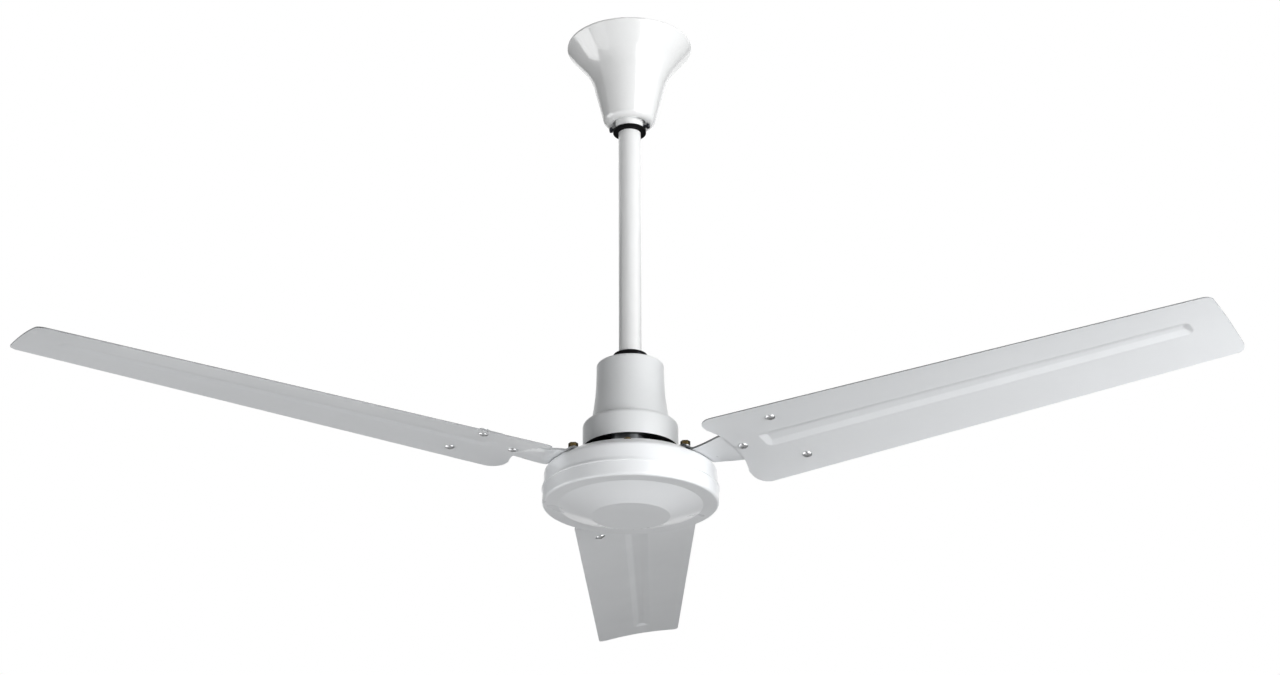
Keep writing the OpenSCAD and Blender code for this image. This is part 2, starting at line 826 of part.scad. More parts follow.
module stator_core() {
    color(steel)
    at_plane()
        translate([0, 0, core_low_h])
            linear_extrude(core_h, convexity = 10)
                difference() {
                    circle(r = stator_r);
                    circle(r = shaft_d / 2 + press_gap);
                    for (i = [0:slots - 1])
                        rotate(i * 360 / slots) {
                            slot_shape(0);
                            translate([stator_r - slot_lip - over, -slot_mouth / 2])
                                square([slot_lip + 2 * over, slot_mouth]);
                        }
                }
}

// Windings: an end turn ring above and below the core, joined by a coil side in every slot
module stator_windings() {
    slack = 1;
    coil_in_r = slot_in_r + slack;
    coil_out_r = stator_r - slot_lip - slack;
    round = 3;
    root = coil_h / 2;
    color(copper)
    at_plane() {
        for (side = [-1, 1])
            translate([0, 0, side > 0 ? core_top_h : core_low_h])
                rotate_extrude()
                    polygon(loop([[coil_in_r, 0, 0], [coil_out_r, 0, 0],
                        [coil_out_r, side * coil_h, round],
                        [coil_in_r, side * coil_h, round]]));
        for (i = [0:slots - 1])
            rotate([0, 0, i * 360 / slots])
                translate([0, 0, core_low_h - root])
                    linear_extrude(core_h + 2 * root)
                        slot_shape(-slack);
    }
}

// Bearing parts: each race has a groove that is a little wider than the balls
function ball_pitch_r(bore, outer) = (bore + outer) / 4;

module race(bore, outer, width, ball, inner) {
    pitch_r = ball_pitch_r(bore, outer);
    shoulder = ball * 0.32;
    edge = 0.5;
    lo = inner ? bore / 2 : pitch_r + shoulder;
    hi = inner ? pitch_r - shoulder : outer / 2;
    rotate_extrude()
        difference() {
            polygon(loop([[lo, 0, inner ? edge : 0], [hi, 0, inner ? 0 : edge],
                [hi, width, inner ? 0 : edge],
                [lo, width, inner ? edge : 0]]));
            translate([pitch_r, width / 2])
                circle(r = ball / 2 + close_gap, $fn = 48);
        }
}

module ball_ring(bore, outer, width, ball) {
    for (i = [0:balls - 1])
        rotate([0, 0, (i + 0.5) * 360 / balls])
            translate([ball_pitch_r(bore, outer), 0, width / 2])
                sphere(d = ball, $fn = 32);
}

module ball_cage(bore, outer, width, ball) {
    pitch_r = ball_pitch_r(bore, outer);
    half_wall = ball * 0.16;
    half_h = ball * 0.62;
    difference() {
        tube(pitch_r + half_wall, pitch_r - half_wall, width / 2 - half_h, width / 2 + half_h);
        for (i = [0:balls - 1])
            rotate([0, 0, (i + 0.5) * 360 / balls])
                translate([0, 0, width / 2])
                    rotate([0, 90, 0])
                        cylinder(h = outer, d = ball + hole_gap, $fn = 48);
    }
}

module at_upper_bearing() {
    at_plane() translate([0, 0, upper_bearing_h]) children();
}

module at_lower_bearing() {
    at_plane() translate([0, 0, lower_bearing_h]) children();
}

module upper_bearing_inner_race() {
    color(steel) at_upper_bearing() race(upper_bore + 2 * press_gap, upper_outer, upper_width,
        upper_ball, true);
}

module upper_bearing_outer_race() {
    color(steel) at_upper_bearing() race(upper_bore, upper_outer, upper_width, upper_ball, false);
}

module upper_ball_cage() {
    color(brass) at_upper_bearing() ball_cage(upper_bore, upper_outer, upper_width, upper_ball);
}

module upper_bearing_balls() {
    color(steel) at_upper_bearing() ball_ring(upper_bore, upper_outer, upper_width, upper_ball);
}

module lower_bearing_inner_race() {
    color(steel) at_lower_bearing() race(lower_bore + 2 * press_gap, lower_outer, lower_width,
        lower_ball, true);
}

module lower_bearing_outer_race() {
    color(steel) at_lower_bearing() race(lower_bore, lower_outer, lower_width, lower_ball, false);
}

module lower_ball_cage() {
    color(brass) at_lower_bearing() ball_cage(lower_bore, lower_outer, lower_width, lower_ball);
}

module lower_bearing_balls() {
    color(steel) at_lower_bearing() ball_ring(lower_bore, lower_outer, lower_width, lower_ball);
}

// Round tube with its sides swept along points in the XZ plane, each ring square to the path
module swept_tube(points, d, sides) {
    n = len(points);
    ring = [for (i = [0:n - 1])
        let(ahead = points[min(n - 1, i + 1)] - points[max(0, i - 1)], turn = atan2(ahead.x, ahead.y))
        for (k = [0:sides - 1])
            let(a = k * 360 / sides, x = d / 2 * cos(a))
            [points[i].x + x * cos(turn), d / 2 * sin(a), points[i].y - x * sin(turn)]];
    walls = [for (i = [0:n - 2]) for (k = [0:sides - 1])
        let(a = i * sides + k, b = i * sides + (k + 1) % sides)
        each quad(a, a + sides, b + sides, b)];
    polyhedron(ring, concat(walls, [[for (k = [0:sides - 1]) k]],
        [[for (k = [sides - 1:-1:0]) (n - 1) * sides + k]]), convexity = 4);
}

// Sleeve round the motor leads: up the shaft's bore, then aside to pass the cross bolts in the tube
module lead_sleeve() {
    aside = (cross_bolt_d + sleeve_d) / 2 + face_gap;
    low = plane_z + lead_bore_h + face_gap;
    bend_low = plane_z + shaft_top_h + 1;
    bend_high = coupling_bolt_z - cross_bolt_d;
    top = rod_top_z - 6;
    steps = 8;
    bend = [for (i = [0:steps]) [aside * (1 - cos(i * 180 / steps)) / 2,
        mix(bend_low, bend_high, i / steps)]];
    color(black_plastic)
    swept_tube([[0, low], each bend, [aside, top]], sleeve_d, 12);
}

// Upper canopy: heights are counted from the neck's lower edge
rim_round = 2.5;
rim_roll = 1.2;
rim_in = 3;
rim_band = 2.3;
foot_round = 9.5;
hollow_round = 1.5;
hollow_in = 2.9;
hollow_out = 3.8;

module upper_canopy() {
    lip_h = neck_l - foot_hollow;
    foot_r = canopy_foot_d / 2;
    rim_r = canopy_d / 2;
    wall_t = tan(bell_slope);
    flare_t = tan(flare_slope);
    rim_h = canopy_h - rim_band;
    bend_h = (foot_r - lip_h * wall_t - rim_r + rim_h * flare_t) / (flare_t - wall_t);
    bend_r = foot_r + (bend_h - lip_h) * wall_t;
    color(white_enamel)
    translate([0, 0, neck_edge_z])
        difference() {
            spun([[neck_d / 2, 0, 0], [neck_d / 2, neck_l, 0.8],
                [neck_d / 2 + hollow_in, neck_l, hollow_round],
                [neck_d / 2 + hollow_out, lip_h, hollow_round], [foot_r, lip_h, foot_round],
                    [bend_r, bend_h, flare_r],
                [rim_r, rim_h, rim_round], [rim_r, canopy_h, rim_roll],
                    [rim_r - rim_in, canopy_h, 0]], canopy_t);
            neck_screw_holes();
        }
}

// Two neck screws, opposite each other
neck_screw_turns = [-13, 167];

module neck_screw_holes() {
    for (turn = neck_screw_turns)
        rotate([0, 0, turn])
            translate([0, 0, neck_screw_h])
                rotate([0, 90, 0])
                    cylinder(h = neck_d / 2 + 2 * over, d = neck_screw_d + hole_gap, $fn = 32);
}

module neck_screws() {
    tip_r = rod_r + run_gap;
    head_r = neck_d / 2 + 4.5;
    head_size = neck_screw_d * 0.85;
    driver_slot = 1;
    color(steel)
    translate([0, 0, neck_edge_z])
        for (turn = neck_screw_turns)
            rotate([0, 0, turn])
                translate([0, 0, neck_screw_h])
                    rotate([0, 90, 0])
                        difference() {
                            union() {
                                translate([0, 0, tip_r])
                                    cylinder(h = head_r - tip_r + 0.5, d = neck_screw_d, $fn = 32);
                                translate([0, 0, head_r])
                                    rotate_extrude($fn = 48)
                                        polygon(loop([[0, 0, 0], [head_size, 0, 0.3],
                                            [head_size, head_size, 1.2], [0, head_size, 0]]));
                            }
                            translate([-neck_screw_d, -driver_slot / 2, head_r + neck_screw_d * 0.5])
                                cube([2 * neck_screw_d, driver_slot, neck_screw_d]);
                        }
}

// Upper collar: a flange under the neck and a sleeve inside it
module upper_collar() {
    sleeve_r = neck_in_r - run_gap;
    sleeve_h = neck_l - 1;
    color(black_plastic)
    translate([0, 0, neck_edge_z])
        difference() {
            rotate_extrude()
                polygon(loop([[collar_in_r, -upper_collar_h, 0], [collar_d / 2, -upper_collar_h, 0.8],
                    [collar_d / 2, 0, 0.3], [sleeve_r, 0, 0], [sleeve_r, sleeve_h, 0],
                        [collar_in_r, sleeve_h, 0]]));
            neck_screw_holes();
        }
}

// Lower canopy: heights are counted from the base ring's lower edge
shoulder_round = 6;
lower_round = 8;
lower_hole_r = neck_in_r;
waist_top = 11;
shoulder_straight = 2.4;

module lower_canopy() {
    waist_turn = asin((lower_h - waist_top - base_h - shoulder_straight) / waist_r);
    waist_h = lower_h - waist_top - waist_r * tan(waist_turn / 2);
    shoulder_r = waist_d / 2 + (waist_h - base_h) * tan(waist_turn);
    color(satin_grey)
    translate([0, 0, base_z])
        spun([[base_d / 2, 0, 0], [base_d / 2, base_h, shoulder_round], [shoulder_r, base_h, 2],
            [waist_d / 2, waist_h, waist_r], [waist_d / 2, lower_h, lower_round],
                [lower_hole_r, lower_h, 0]], canopy_t);
}

// Lower collar: a ring on top of the canopy with a short spigot in the canopy's hole
collar_screw_turn = -60;
collar_screw_d = 4;
collar_screw_h = 8;

module lower_collar() {
    spigot_r = lower_hole_r - run_gap;
    color(black_plastic)
    translate([0, 0, base_z + lower_h])
        difference() {
            rotate_extrude()
                polygon(loop([[collar_in_r, run_gap - canopy_t, 0],
                    [spigot_r, run_gap - canopy_t, 0], [spigot_r, 0, 0],
                    [collar_d / 2, 0, 0.5], [collar_d / 2, lower_collar_h, 1.2],
                        [collar_in_r, lower_collar_h, 0.5]]));
            rotate([0, 0, collar_screw_turn])
                translate([0, 0, collar_screw_h])
                    rotate([0, 90, 0])
                        cylinder(h = collar_d, d = collar_screw_d + 2 * close_gap, $fn = 32);
        }
}

module collar_screw() {
    socket = 2;
    proud = 0.3;
    tip_r = rod_r + run_gap;
    color(zinc)
    translate([0, 0, base_z + lower_h])
        rotate([0, 0, collar_screw_turn])
            translate([0, 0, collar_screw_h])
                rotate([0, 90, 0])
                    difference() {
                        translate([0, 0, tip_r])
                            cylinder(h = collar_d / 2 - tip_r + proud, d = collar_screw_d, $fn = 32);
                        translate([0, 0, collar_d / 2 + proud - socket])
                            cylinder(h = socket + over, d = socket / cos(30), $fn = 6);
                    }
}

// Upper casing: a turned shell with a bearing pocket, bolt holes and three sunk screw seats
casing_screw_turns = [-60, 60, 180];
casing_hole_r = upper_bore / 2 + 4.5;
seat_r = casing_screw_d * 1.5;

module each_casing_screw() {
    for (turn = casing_screw_turns)
        rotate([0, 0, rest_turn + turn])
            translate([casing_screw_r, 0, 0])
                children();
}

module each_arm_bolt() {
    each_arm()
        for (r = [arm_bolt_r, arm_bolt_r - arm_bolt_pitch])
            translate([r, 0, 0])
                children();
}

module upper_casing() {
    seat_h = casing_top - seat_depth;
    wall_low = seam_h - casing_lap;
    top_r = top_d / 2;
    shoulder_round = 6;
    top_round = 4;
    color(satin_grey)
    at_plane()
        difference() {
            union() {
                spun([[casing_r, wall_low, 0], [casing_r, casing_top - shoulder_drop, shoulder_round],
                    [top_r, casing_top, top_round],
                    [casing_hole_r, casing_top, 0]], casing_t);
                tube(upper_outer / 2 + casing_t, upper_outer / 2 + press_gap,
                    upper_bearing_h - casing_t / 3,
                    casing_top - casing_t / 2);
                intersection() {
                    each_casing_screw()
                        translate([0, 0, seat_h - casing_t])
                            cylinder(h = casing_top, r = seat_r + casing_t, $fn = 48);
                    rotate_extrude()
                        polygon([[0, 0], [casing_r - casing_t, -shoulder_drop],
                            [casing_r, casing_top - shoulder_drop],
                            [top_r, casing_top], [0, casing_top]]);
                }
            }
            each_casing_screw() {
                translate([0, 0, seat_h])
                    cylinder(h = casing_top, r = seat_r, $fn = 48);
                translate([0, 0, seat_h - casing_t - over])
                    cylinder(h = casing_top, d = casing_screw_d + hole_gap, $fn = 32);
            }
            each_arm_bolt()
                translate([0, 0, casing_top - casing_t - over])
                    cylinder(h = casing_t + 2 * over, d = screw_d + hole_gap, $fn = 32);
        }
}

module lower_casing() {
    lower_r = casing_r + close_gap + casing_t;
    color(satin_grey)
    at_plane() {
        spun([[0, disc_h, 0], [disc_d / 2, disc_h, 3], [ring_in_d / 2, ring_h, 2],
            [lower_r, ring_h, 3], [lower_r, seam_h, 0]], casing_t);
        tube(lower_outer / 2 + casing_t, lower_outer / 2 + press_gap, lower_bearing_h - casing_t / 2,
            lower_bearing_h + lower_width - over);
    }
}

// Rotor: a laminated ring round the stator with a cast cage of end rings and bars
cage_bars = 24;
bar_d = 3.6;
cage_ring_h = 3;
cage_in = 1;
cage_w = 4.5;
bar_in = 3;

module each_bar() {
    for (i = [0:cage_bars - 1])
        rotate([0, 0, (i + 0.5) * 360 / cage_bars])
            translate([rotor_in_r + bar_in, 0, 0])
                children();
}

module rotor_core() {
    color(steel)
    at_plane()
        translate([0, 0, core_low_h])
            linear_extrude(core_h, convexity = 10)
                difference() {
                    circle(r = rotor_r);
                    circle(r = rotor_in_r);
                    each_bar() circle(d = bar_d + 2 * close_gap, $fn = 24);
                    each_casing_screw() circle(d = casing_screw_d + 2 * hole_gap, $fn = 24);
                }
}

module rotor_cage() {
    color(zinc)
    at_plane() {
        for (low = [core_top_h, core_low_h - cage_ring_h])
            tube(rotor_in_r + cage_in + cage_w, rotor_in_r + cage_in, low, low + cage_ring_h);
        each_bar()
            translate([0, 0, core_low_h - cage_ring_h / 2])
                cylinder(h = core_h + cage_ring_h, d = bar_d, $fn = 24);
    }
}

module casing_screws() {
    seat_h = casing_top - seat_depth;
    head_r = casing_screw_d;
    head_t = 2.7;
    cross_w = 0.8;
    tip_h = ring_h + casing_t + cross_w;
    color(brass)
    at_plane()
        each_casing_screw()
            difference() {
                union() {
                    translate([0, 0, tip_h])
                        cylinder(h = seat_h - tip_h + 0.5, d = casing_screw_d, $fn = 32);
                    translate([0, 0, seat_h])
                        rotate_extrude($fn = 48)
                            polygon(loop([[0, 0, 0], [head_r, 0, 0.2], [head_r, head_t, 1.2],
                                [0, head_t, 0]]));
                }
                for (turn = [0, 90])
                    rotate([0, 0, turn])
                        translate([-head_r * 0.55, -cross_w / 2, seat_h + head_t / 2])
                            cube([head_r * 1.1, cross_w, head_t]);
            }
}

// Weld nuts on the lower casing's flat ring
module casing_nuts() {
    color(zinc)
    at_plane()
        each_casing_screw()
            translate([0, 0, ring_h + casing_t])
                nut(casing_screw_d);
}

// Blade frame: X runs along the blade from the middle screw, Y across it, and the camber bends over Y
module blade_frame() {
    translate([blade_screw_r, 0, 0])
        rotate([0, 0, blade_skew])
            rotate([0, -blade_rise, 0])
                rotate([-blade_pitch, 0, 0])
                    children();
}

// The same frame for a point: its place in the arm's radial frame
function in_blade_frame(x, y, z) =
    let(y1 = y * cos(blade_pitch) + z * sin(blade_pitch),
        z1 = -y * sin(blade_pitch) + z * cos(blade_pitch),
        x1 = x * cos(blade_rise) - z1 * sin(blade_rise), z2 = x * sin(blade_rise) + z1 * cos(blade_rise))
    [blade_screw_r + x1 * cos(blade_skew) - y1 * sin(blade_skew),
        x1 * sin(blade_skew) + y1 * cos(blade_skew), z2];

// Height of a face over the blade frame at y, lift above the blade's underside
function camber_z(y, lift) = sqrt(pow(camber_r + lift, 2) - y * y) - camber_r;

// Length of a blade from its middle screw to its tip edge. The rise, the skew and the round corners
// draw the tip in, and the trim brings it back to the swept circle.
tip_trim = 2;
blade_l = sqrt(pow(sweep_d / 2, 2) - pow(blade_tip_w / 2 - tip_corner, 2)) - blade_screw_r + tip_trim;

// Distance from a root corner's arc to the end of the root edge's arc, and the corner's turn past 90
// degrees
root_inset = 8;
root_turn = 100;

function blade_outline() =
    let(half_root = blade_root_w / 2, half_tip = blade_tip_w / 2,
        root_a = asin((half_root - root_corner - root_inset) / root_edge_r),
        taper = atan((half_root - half_tip) / blade_l))
    concat(arc([-blade_screw_r, 0], root_edge_r, -root_a, root_a),
        arc([0, half_root - root_corner], root_corner, 90 + root_turn, 90 - taper),
        arc([blade_l - tip_corner, half_tip - tip_corner], tip_corner, 90 - taper, 0),
        arc([blade_l - tip_corner, tip_corner - half_tip], tip_corner, 0, taper - 90),
        arc([0, root_corner - half_root], root_corner, taper - 90, -90 - root_turn));

// Solid under the face at a given lift, along the whole blade
module under_camber(lift) {
    past = 40;
    translate([-past, 0, -camber_r])
        rotate([0, 90, 0])
            cylinder(h = blade_l + 2 * past, r = camber_r + lift, $fn = 360);
}

// Bead outline at a given growth; its tip end stands nearer to the leading edge
bead_tip_shift = -5.4;

function bead_outline(grow) =
    let(end = blade_l - bead_end, a = bead_root_w / 2 + grow, b = bead_tip_w / 2 + grow)
    [[bead_start - grow, -a], [end + grow, bead_tip_shift - b], [end + grow, bead_tip_shift + b],
        [bead_start - grow, a]];

// Bead: a long mound with sloping sides, as wide as stated where it meets the face at the given lift
module bead_mound(lift) {
    slope = bead_side / bead_h;
    below = 3;
    above = bead_h + 0.3;
    slice = 0.01;
    hull() {
        translate([0, 0, lift - below])
            linear_extrude(slice)
                polygon(bead_outline(below * slope));
        translate([0, 0, lift + above - slice])
            linear_extrude(slice)
                polygon(bead_outline(-above * slope));
    }
}

// Places its children on each blade screw's axis, with zero on the blade's underside
module each_blade_screw() {
    for (p = [[0, 0], [screw_out, screw_side], [screw_out, -screw_side]])
        translate([p.x, 0, -camber_r])
            rotate([-asin(p.y / camber_r), 0, 0])
                translate([0, 0, camber_r])
                    children();
}

module blade(i) {
    low = -24;
    high = 12;
    color(satin_grey)
    at_plane()
        rotate([0, 0, rest_turn + i * 360 / blades])
            blade_frame()
                difference() {
                    intersection() {
                        translate([0, 0, low])
                            linear_extrude(high - low)
                                polygon(blade_outline());
                        union() {
                            under_camber(blade_t);
                            intersection() {
                                bead_mound(blade_t);
                                under_camber(blade_t + bead_h);
                            }
                        }
                    }
                    under_camber(0);
                    intersection() {
                        bead_mound(0);
                        under_camber(bead_h);
                    }
                    each_blade_screw()
                        translate([0, 0, -over])
                            cylinder(h = blade_t + 2 * over, d = screw_d + hole_gap, $fn = 32);
                }
}

module blade_1() { blade(0); }
module blade_2() { blade(1); }
module blade_3() { blade(2); }

// Blade arm: one sheet with a flat root on the casing, a twisted neck and a cambered fork over the blade
fork_gap = 0.1;
fork_lift = blade_t + fork_gap;
neck_end_x = bend_out_r - blade_screw_r;
neck_run = bend_out_r - bend_in_r;
// Share of the neck's run that each bend takes
neck_bend = 0.12;
neck_widening = 4;
// Distance of the outline's corners from the bend lines
clear_of_bend = 4;

// Outline points of the fork in the blade frame, from its leading to its trailing side
function fork_points() =
    let(side = screw_side, out = screw_out, end_r = 10.2)
    [[neck_end_x + clear_of_bend, -arm_lead_w - neck_widening, 20], [-5, -30, 25],
        [out - 17, -side - end_r, 20],
        [out + end_r, -side - end_r, 10], [out + end_r, end_r - side, 10],
            [out - 21, end_r + 1 - side, 10],
        [bead_start - 12, -17, 8], [bead_start - 12, 17, 8], [out - 21, side - end_r - 1, 10],
        [out + end_r, side - end_r, 10], [out + end_r, side + end_r, 10],
            [out - 17, side + end_r, 20], [-5, 25, 25],
        [neck_end_x + clear_of_bend, arm_trail_w + neck_widening, 20]];

function arm_outline() =
    let(end_w = 14, side_w = 19, side_r = arm_bolt_r - 8)
    loop(concat([[arm_in_r, end_w, 10], [arm_in_r, -end_w, 10], [side_r, -side_w, 30],
            [bend_in_r - clear_of_bend, -arm_lead_w, 20]],
        [for (p = fork_points()) let(q = in_blade_frame(p.x, p.y, camber_z(p.y, fork_lift))) [q.x,
            q.y, p[2]]],
        [[bend_in_r - clear_of_bend, arm_trail_w, 20], [side_r, arm_trail_w, 30]]));

// Height share along the neck: straight between the bends, with a round bend at each end
function ramp(u, e) =
    u <= -e ? 0
    : u < e ? pow(u + e, 2) / (4 * e)
    : u < 1 - e ? u
    : u < 1 + e ? 1 - pow(1 + e - u, 2) / (4 * e)
    : 1;

// Point of the arm's underside: u runs from bend to bend, below 0 on the root and above 1 on the fork
function arm_point(u, y) =
    let(on_fork = in_blade_frame(neck_end_x + max(0, u - 1) * neck_run, y, camber_z(y, fork_lift)),
        share = max(0, min(1, u)))
    [mix(bend_in_r, on_fork.x, share) + min(0, u) * neck_run, mix(y, on_fork.y, share),
        mix(casing_top, on_fork.z, ramp(u, neck_bend))];

// Two triangles of a four sided face
function quad(a, b, c, d) = [[a, b, c], [a, c, d]];

// The bent sheet before it is cut to its outline, with its rows across the arm
module arm_sheet() {
    across = 11;
    half = screw_side + 14;
    first = (arm_in_r - 2 - bend_in_r) / neck_run;
    last = 1 + (screw_out + 14 - neck_end_x) / neck_run;
    marks = [first, -0.12, -0.07, 0, 0.06, 0.12, 0.3, 0.5, 0.7, 0.88, 0.94, 1, 1.07, 1.12, last];
    n = len(marks);
    low = [for (u = marks) for (j = [0:across]) arm_point(u, mix(-half, half, j / across))];
    high = [for (p = low) p + [0, 0, arm_t]];
    row = across + 1;
    top = n * row;
    faces = concat(
        [for (i = [0:n - 2]) for (j = [0:across - 1])
            let(a = i * row + j, b = a + row)
            each concat(quad(a, b, b + 1, a + 1), quad(top + a, top + a + 1, top + b + 1, top + b))],
        [for (i = [0:n - 2])
            let(a = i * row, b = a + row, c = a + across, d = b + across)
            each concat(quad(a, top + a, top + b, b), quad(d, top + d, top + c, c))],
        [for (j = [0:across - 1])
            let(a = j, b = (n - 1) * row + j)
            each concat(quad(a + 1, top + a + 1, top + a, a), quad(b, top + b, top + b + 1, b + 1))]);
    polyhedron(concat(low, high), faces, convexity = 6);
}

module blade_arm(i) {
    cut_h = 48;
    color(satin_grey)
    at_plane()
        rotate([0, 0, rest_turn + i * 360 / blades])
            difference() {
                intersection() {
                    arm_sheet();
                    translate([0, 0, -cut_h / 2])
                        linear_extrude(cut_h)
                            polygon(arm_outline());
                }
                for (r = [arm_bolt_r, arm_bolt_r - arm_bolt_pitch])
                    translate([r, 0, casing_top - over])
                        rotate([0, 0, 20])
                            cylinder(h = arm_t + 2 * over, d = screw_d + hole_gap, $fn = 32);
                blade_frame()
                    each_blade_screw()
                        rotate([0, 0, 20])
                            translate([0, 0, fork_lift - 2 * over])
                                cylinder(h = arm_t + 4 * over, d = screw_d + hole_gap, $fn = 32);
            }
}

module blade_arm_1() { blade_arm(0); }
module blade_arm_2() { blade_arm(1); }
module blade_arm_3() { blade_arm(2); }

module arm_bolts() {
    seat_h = casing_top + arm_t + washer_t;
    tail = 1.5;
    color(brass)
    at_plane()
        each_arm_bolt()
            translate([0, 0, seat_h])
                mirror([0, 0, 1])
                    bolt(screw_d, seat_h - casing_top + casing_t + nut_h(screw_d) + tail,
                        across_flats(screw_d),
                        arm_head_h);
}

// Split spring washers under the arm bolts' heads
module arm_washers() {
    split = 1.2;
    color(steel)
    at_plane()
        each_arm_bolt()
            difference() {
                tube(screw_d * 0.88, (screw_d + hole_gap) / 2, casing_top + arm_t,
                    casing_top + arm_t + washer_t);
                rotate([0, 0, 90])
                    translate([0, -split / 2, casing_top + arm_t - over])
                        cube([screw_d, split, washer_t + 2 * over]);
            }
}

module arm_nuts() {
    color(zinc)
    at_plane()
        each_arm_bolt()
            translate([0, 0, casing_top - casing_t])
                mirror([0, 0, 1])
                    nut(screw_d);
}

// Blade screw: a round head under the blade and a shank through the blade and the arm
module blade_screws() {
    tail = 2.2;
    l = fork_lift + arm_t + nut_h(screw_d) + tail;
    cross_w = 0.9;
    cross_l = 4;
    color(zinc)
    at_plane()
        each_arm()
            blade_frame()
                each_blade_screw()
                    difference() {
                        union() {
                            translate([0, 0, -screw_head_h / 2])
                                cylinder(h = l + screw_head_h / 2, d = screw_d, $fn = 32);
                            translate([0, 0, -close_gap])
                                mirror([0, 0, 1])
                                    rotate_extrude($fn = 48)
                                        polygon(loop([[0, 0, 0], [screw_head_d / 2, 0, 0.2],
                                            [screw_head_d / 2 - 0.2, 0.8, 1],
                                                [screw_head_d * 0.36, screw_head_h * 0.86, 4],
                                            [0, screw_head_h, 0]]));
                        }
                        for (turn = [0, 90])
                            rotate([0, 0, turn])
                                translate([-cross_l / 2, -cross_w / 2, -screw_head_h - over])
                                    cube([cross_l, cross_w, screw_head_h / 2 + over]);
                    }
}

module blade_nuts() {
    color(zinc)
    at_plane()
        each_arm()
            blade_frame()
                each_blade_screw()
                    translate([0, 0, fork_lift + arm_t + close_gap])
                        nut(screw_d);
}

hanger_bracket();
hanger_bolt();
hanger_nut();
hanger_split_pin();
rubber_roller();
terminal_block();
rod_strap();
strap_bolt();
strap_nut();
strap_split_pin();
downrod();
motor_coupling();
coupling_bolt();
coupling_nut();
coupling_split_pin();
coupling_set_screws();
motor_shaft();
stator_core();
stator_windings();
upper_bearing_inner_race();
lower_bearing_inner_race();
shaft_circlip();
capacitor();
capacitor_clamp();
lead_sleeve();
upper_canopy();
upper_collar();
neck_screws();
lower_canopy();
lower_collar();
collar_screw();
upper_casing();
lower_casing();
rotor_core();
rotor_cage();
upper_bearing_outer_race();
lower_bearing_outer_race();
casing_screws();
casing_nuts();
blade_arm_1();
blade_arm_2();
blade_arm_3();
arm_bolts();
arm_washers();
arm_nuts();
blade_1();
blade_2();
blade_3();
blade_screws();
blade_nuts();
upper_ball_cage();
upper_bearing_balls();
lower_ball_cage();
lower_bearing_balls();
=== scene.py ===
"""Industrial ceiling fan: surfaces, finishes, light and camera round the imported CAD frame."""
import json
import math

import bmesh
import bpy
import numpy as np
from mathutils import Matrix


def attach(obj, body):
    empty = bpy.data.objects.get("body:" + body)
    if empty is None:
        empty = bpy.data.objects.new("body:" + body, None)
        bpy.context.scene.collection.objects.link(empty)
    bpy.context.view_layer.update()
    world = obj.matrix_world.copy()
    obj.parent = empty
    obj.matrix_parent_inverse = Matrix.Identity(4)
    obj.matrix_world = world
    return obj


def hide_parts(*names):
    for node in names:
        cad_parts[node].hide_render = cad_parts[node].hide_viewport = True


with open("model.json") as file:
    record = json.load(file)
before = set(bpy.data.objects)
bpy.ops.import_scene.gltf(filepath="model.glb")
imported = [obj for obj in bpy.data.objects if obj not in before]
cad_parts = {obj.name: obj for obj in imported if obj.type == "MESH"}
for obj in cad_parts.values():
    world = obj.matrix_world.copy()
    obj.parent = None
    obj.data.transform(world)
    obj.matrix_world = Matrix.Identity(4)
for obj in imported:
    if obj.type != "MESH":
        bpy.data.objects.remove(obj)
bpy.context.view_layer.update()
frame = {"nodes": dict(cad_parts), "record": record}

nodes = frame["nodes"]
body_of_node = {n: b for b, ns in frame["record"]["behaviour"]["bodies"].items() for n in ns}

# Main sizes of the fan in millimetres, as in the part's source
PLANE_Z = -563.0
NECK_EDGE_Z = -122.3
BASE_Z = -536.6
ROD_R, ROD_WALL = 13.45, 2.6
ROD_TOP_Z, ROD_END_Z = -60.0, -501.0
CANOPY_T = 1.2
CASING_T = 1.6
CASING_R = 99.3
CASING_SCREW_R = 85.0
SEAT_Z = PLANE_Z + 4.6
CLOSE_GAP, RUN_GAP = 0.05, 0.08
COLLAR_R, COLLAR_BORE = 20.0, 13.53
NECK_BORE = 15.8
SPIGOT_R = NECK_BORE - RUN_GAP
REST_TURN = -32.26


# Finishes

def linear(code):
    """Linear colour of an sRGB hex code: the usual curve with its straight foot, channel by channel."""
    c = np.array([int(code[i:i + 2], 16) / 255 for i in (1, 3, 5)])
    return tuple(np.where(c <= 0.04045, c / 12.92, ((c + 0.055) / 1.055) ** 2.4)) + (1.0,)


def add(tree, kind, settings=None, **inputs):
    """Adds a node, sets its properties, and fills its inputs with values or with other nodes' outputs."""
    node = tree.nodes.new(kind)
    for key, value in (settings or {}).items():
        setattr(node, key, value)
    for key, value in inputs.items():
        socket = node.inputs[int(key[1:]) if key[0] == "i" and key[1:].isdigit() else key.replace("_", " ")]
        if isinstance(value, bpy.types.NodeSocket):
            tree.links.new(value, socket)
        else:
            socket.default_value = value
    return node


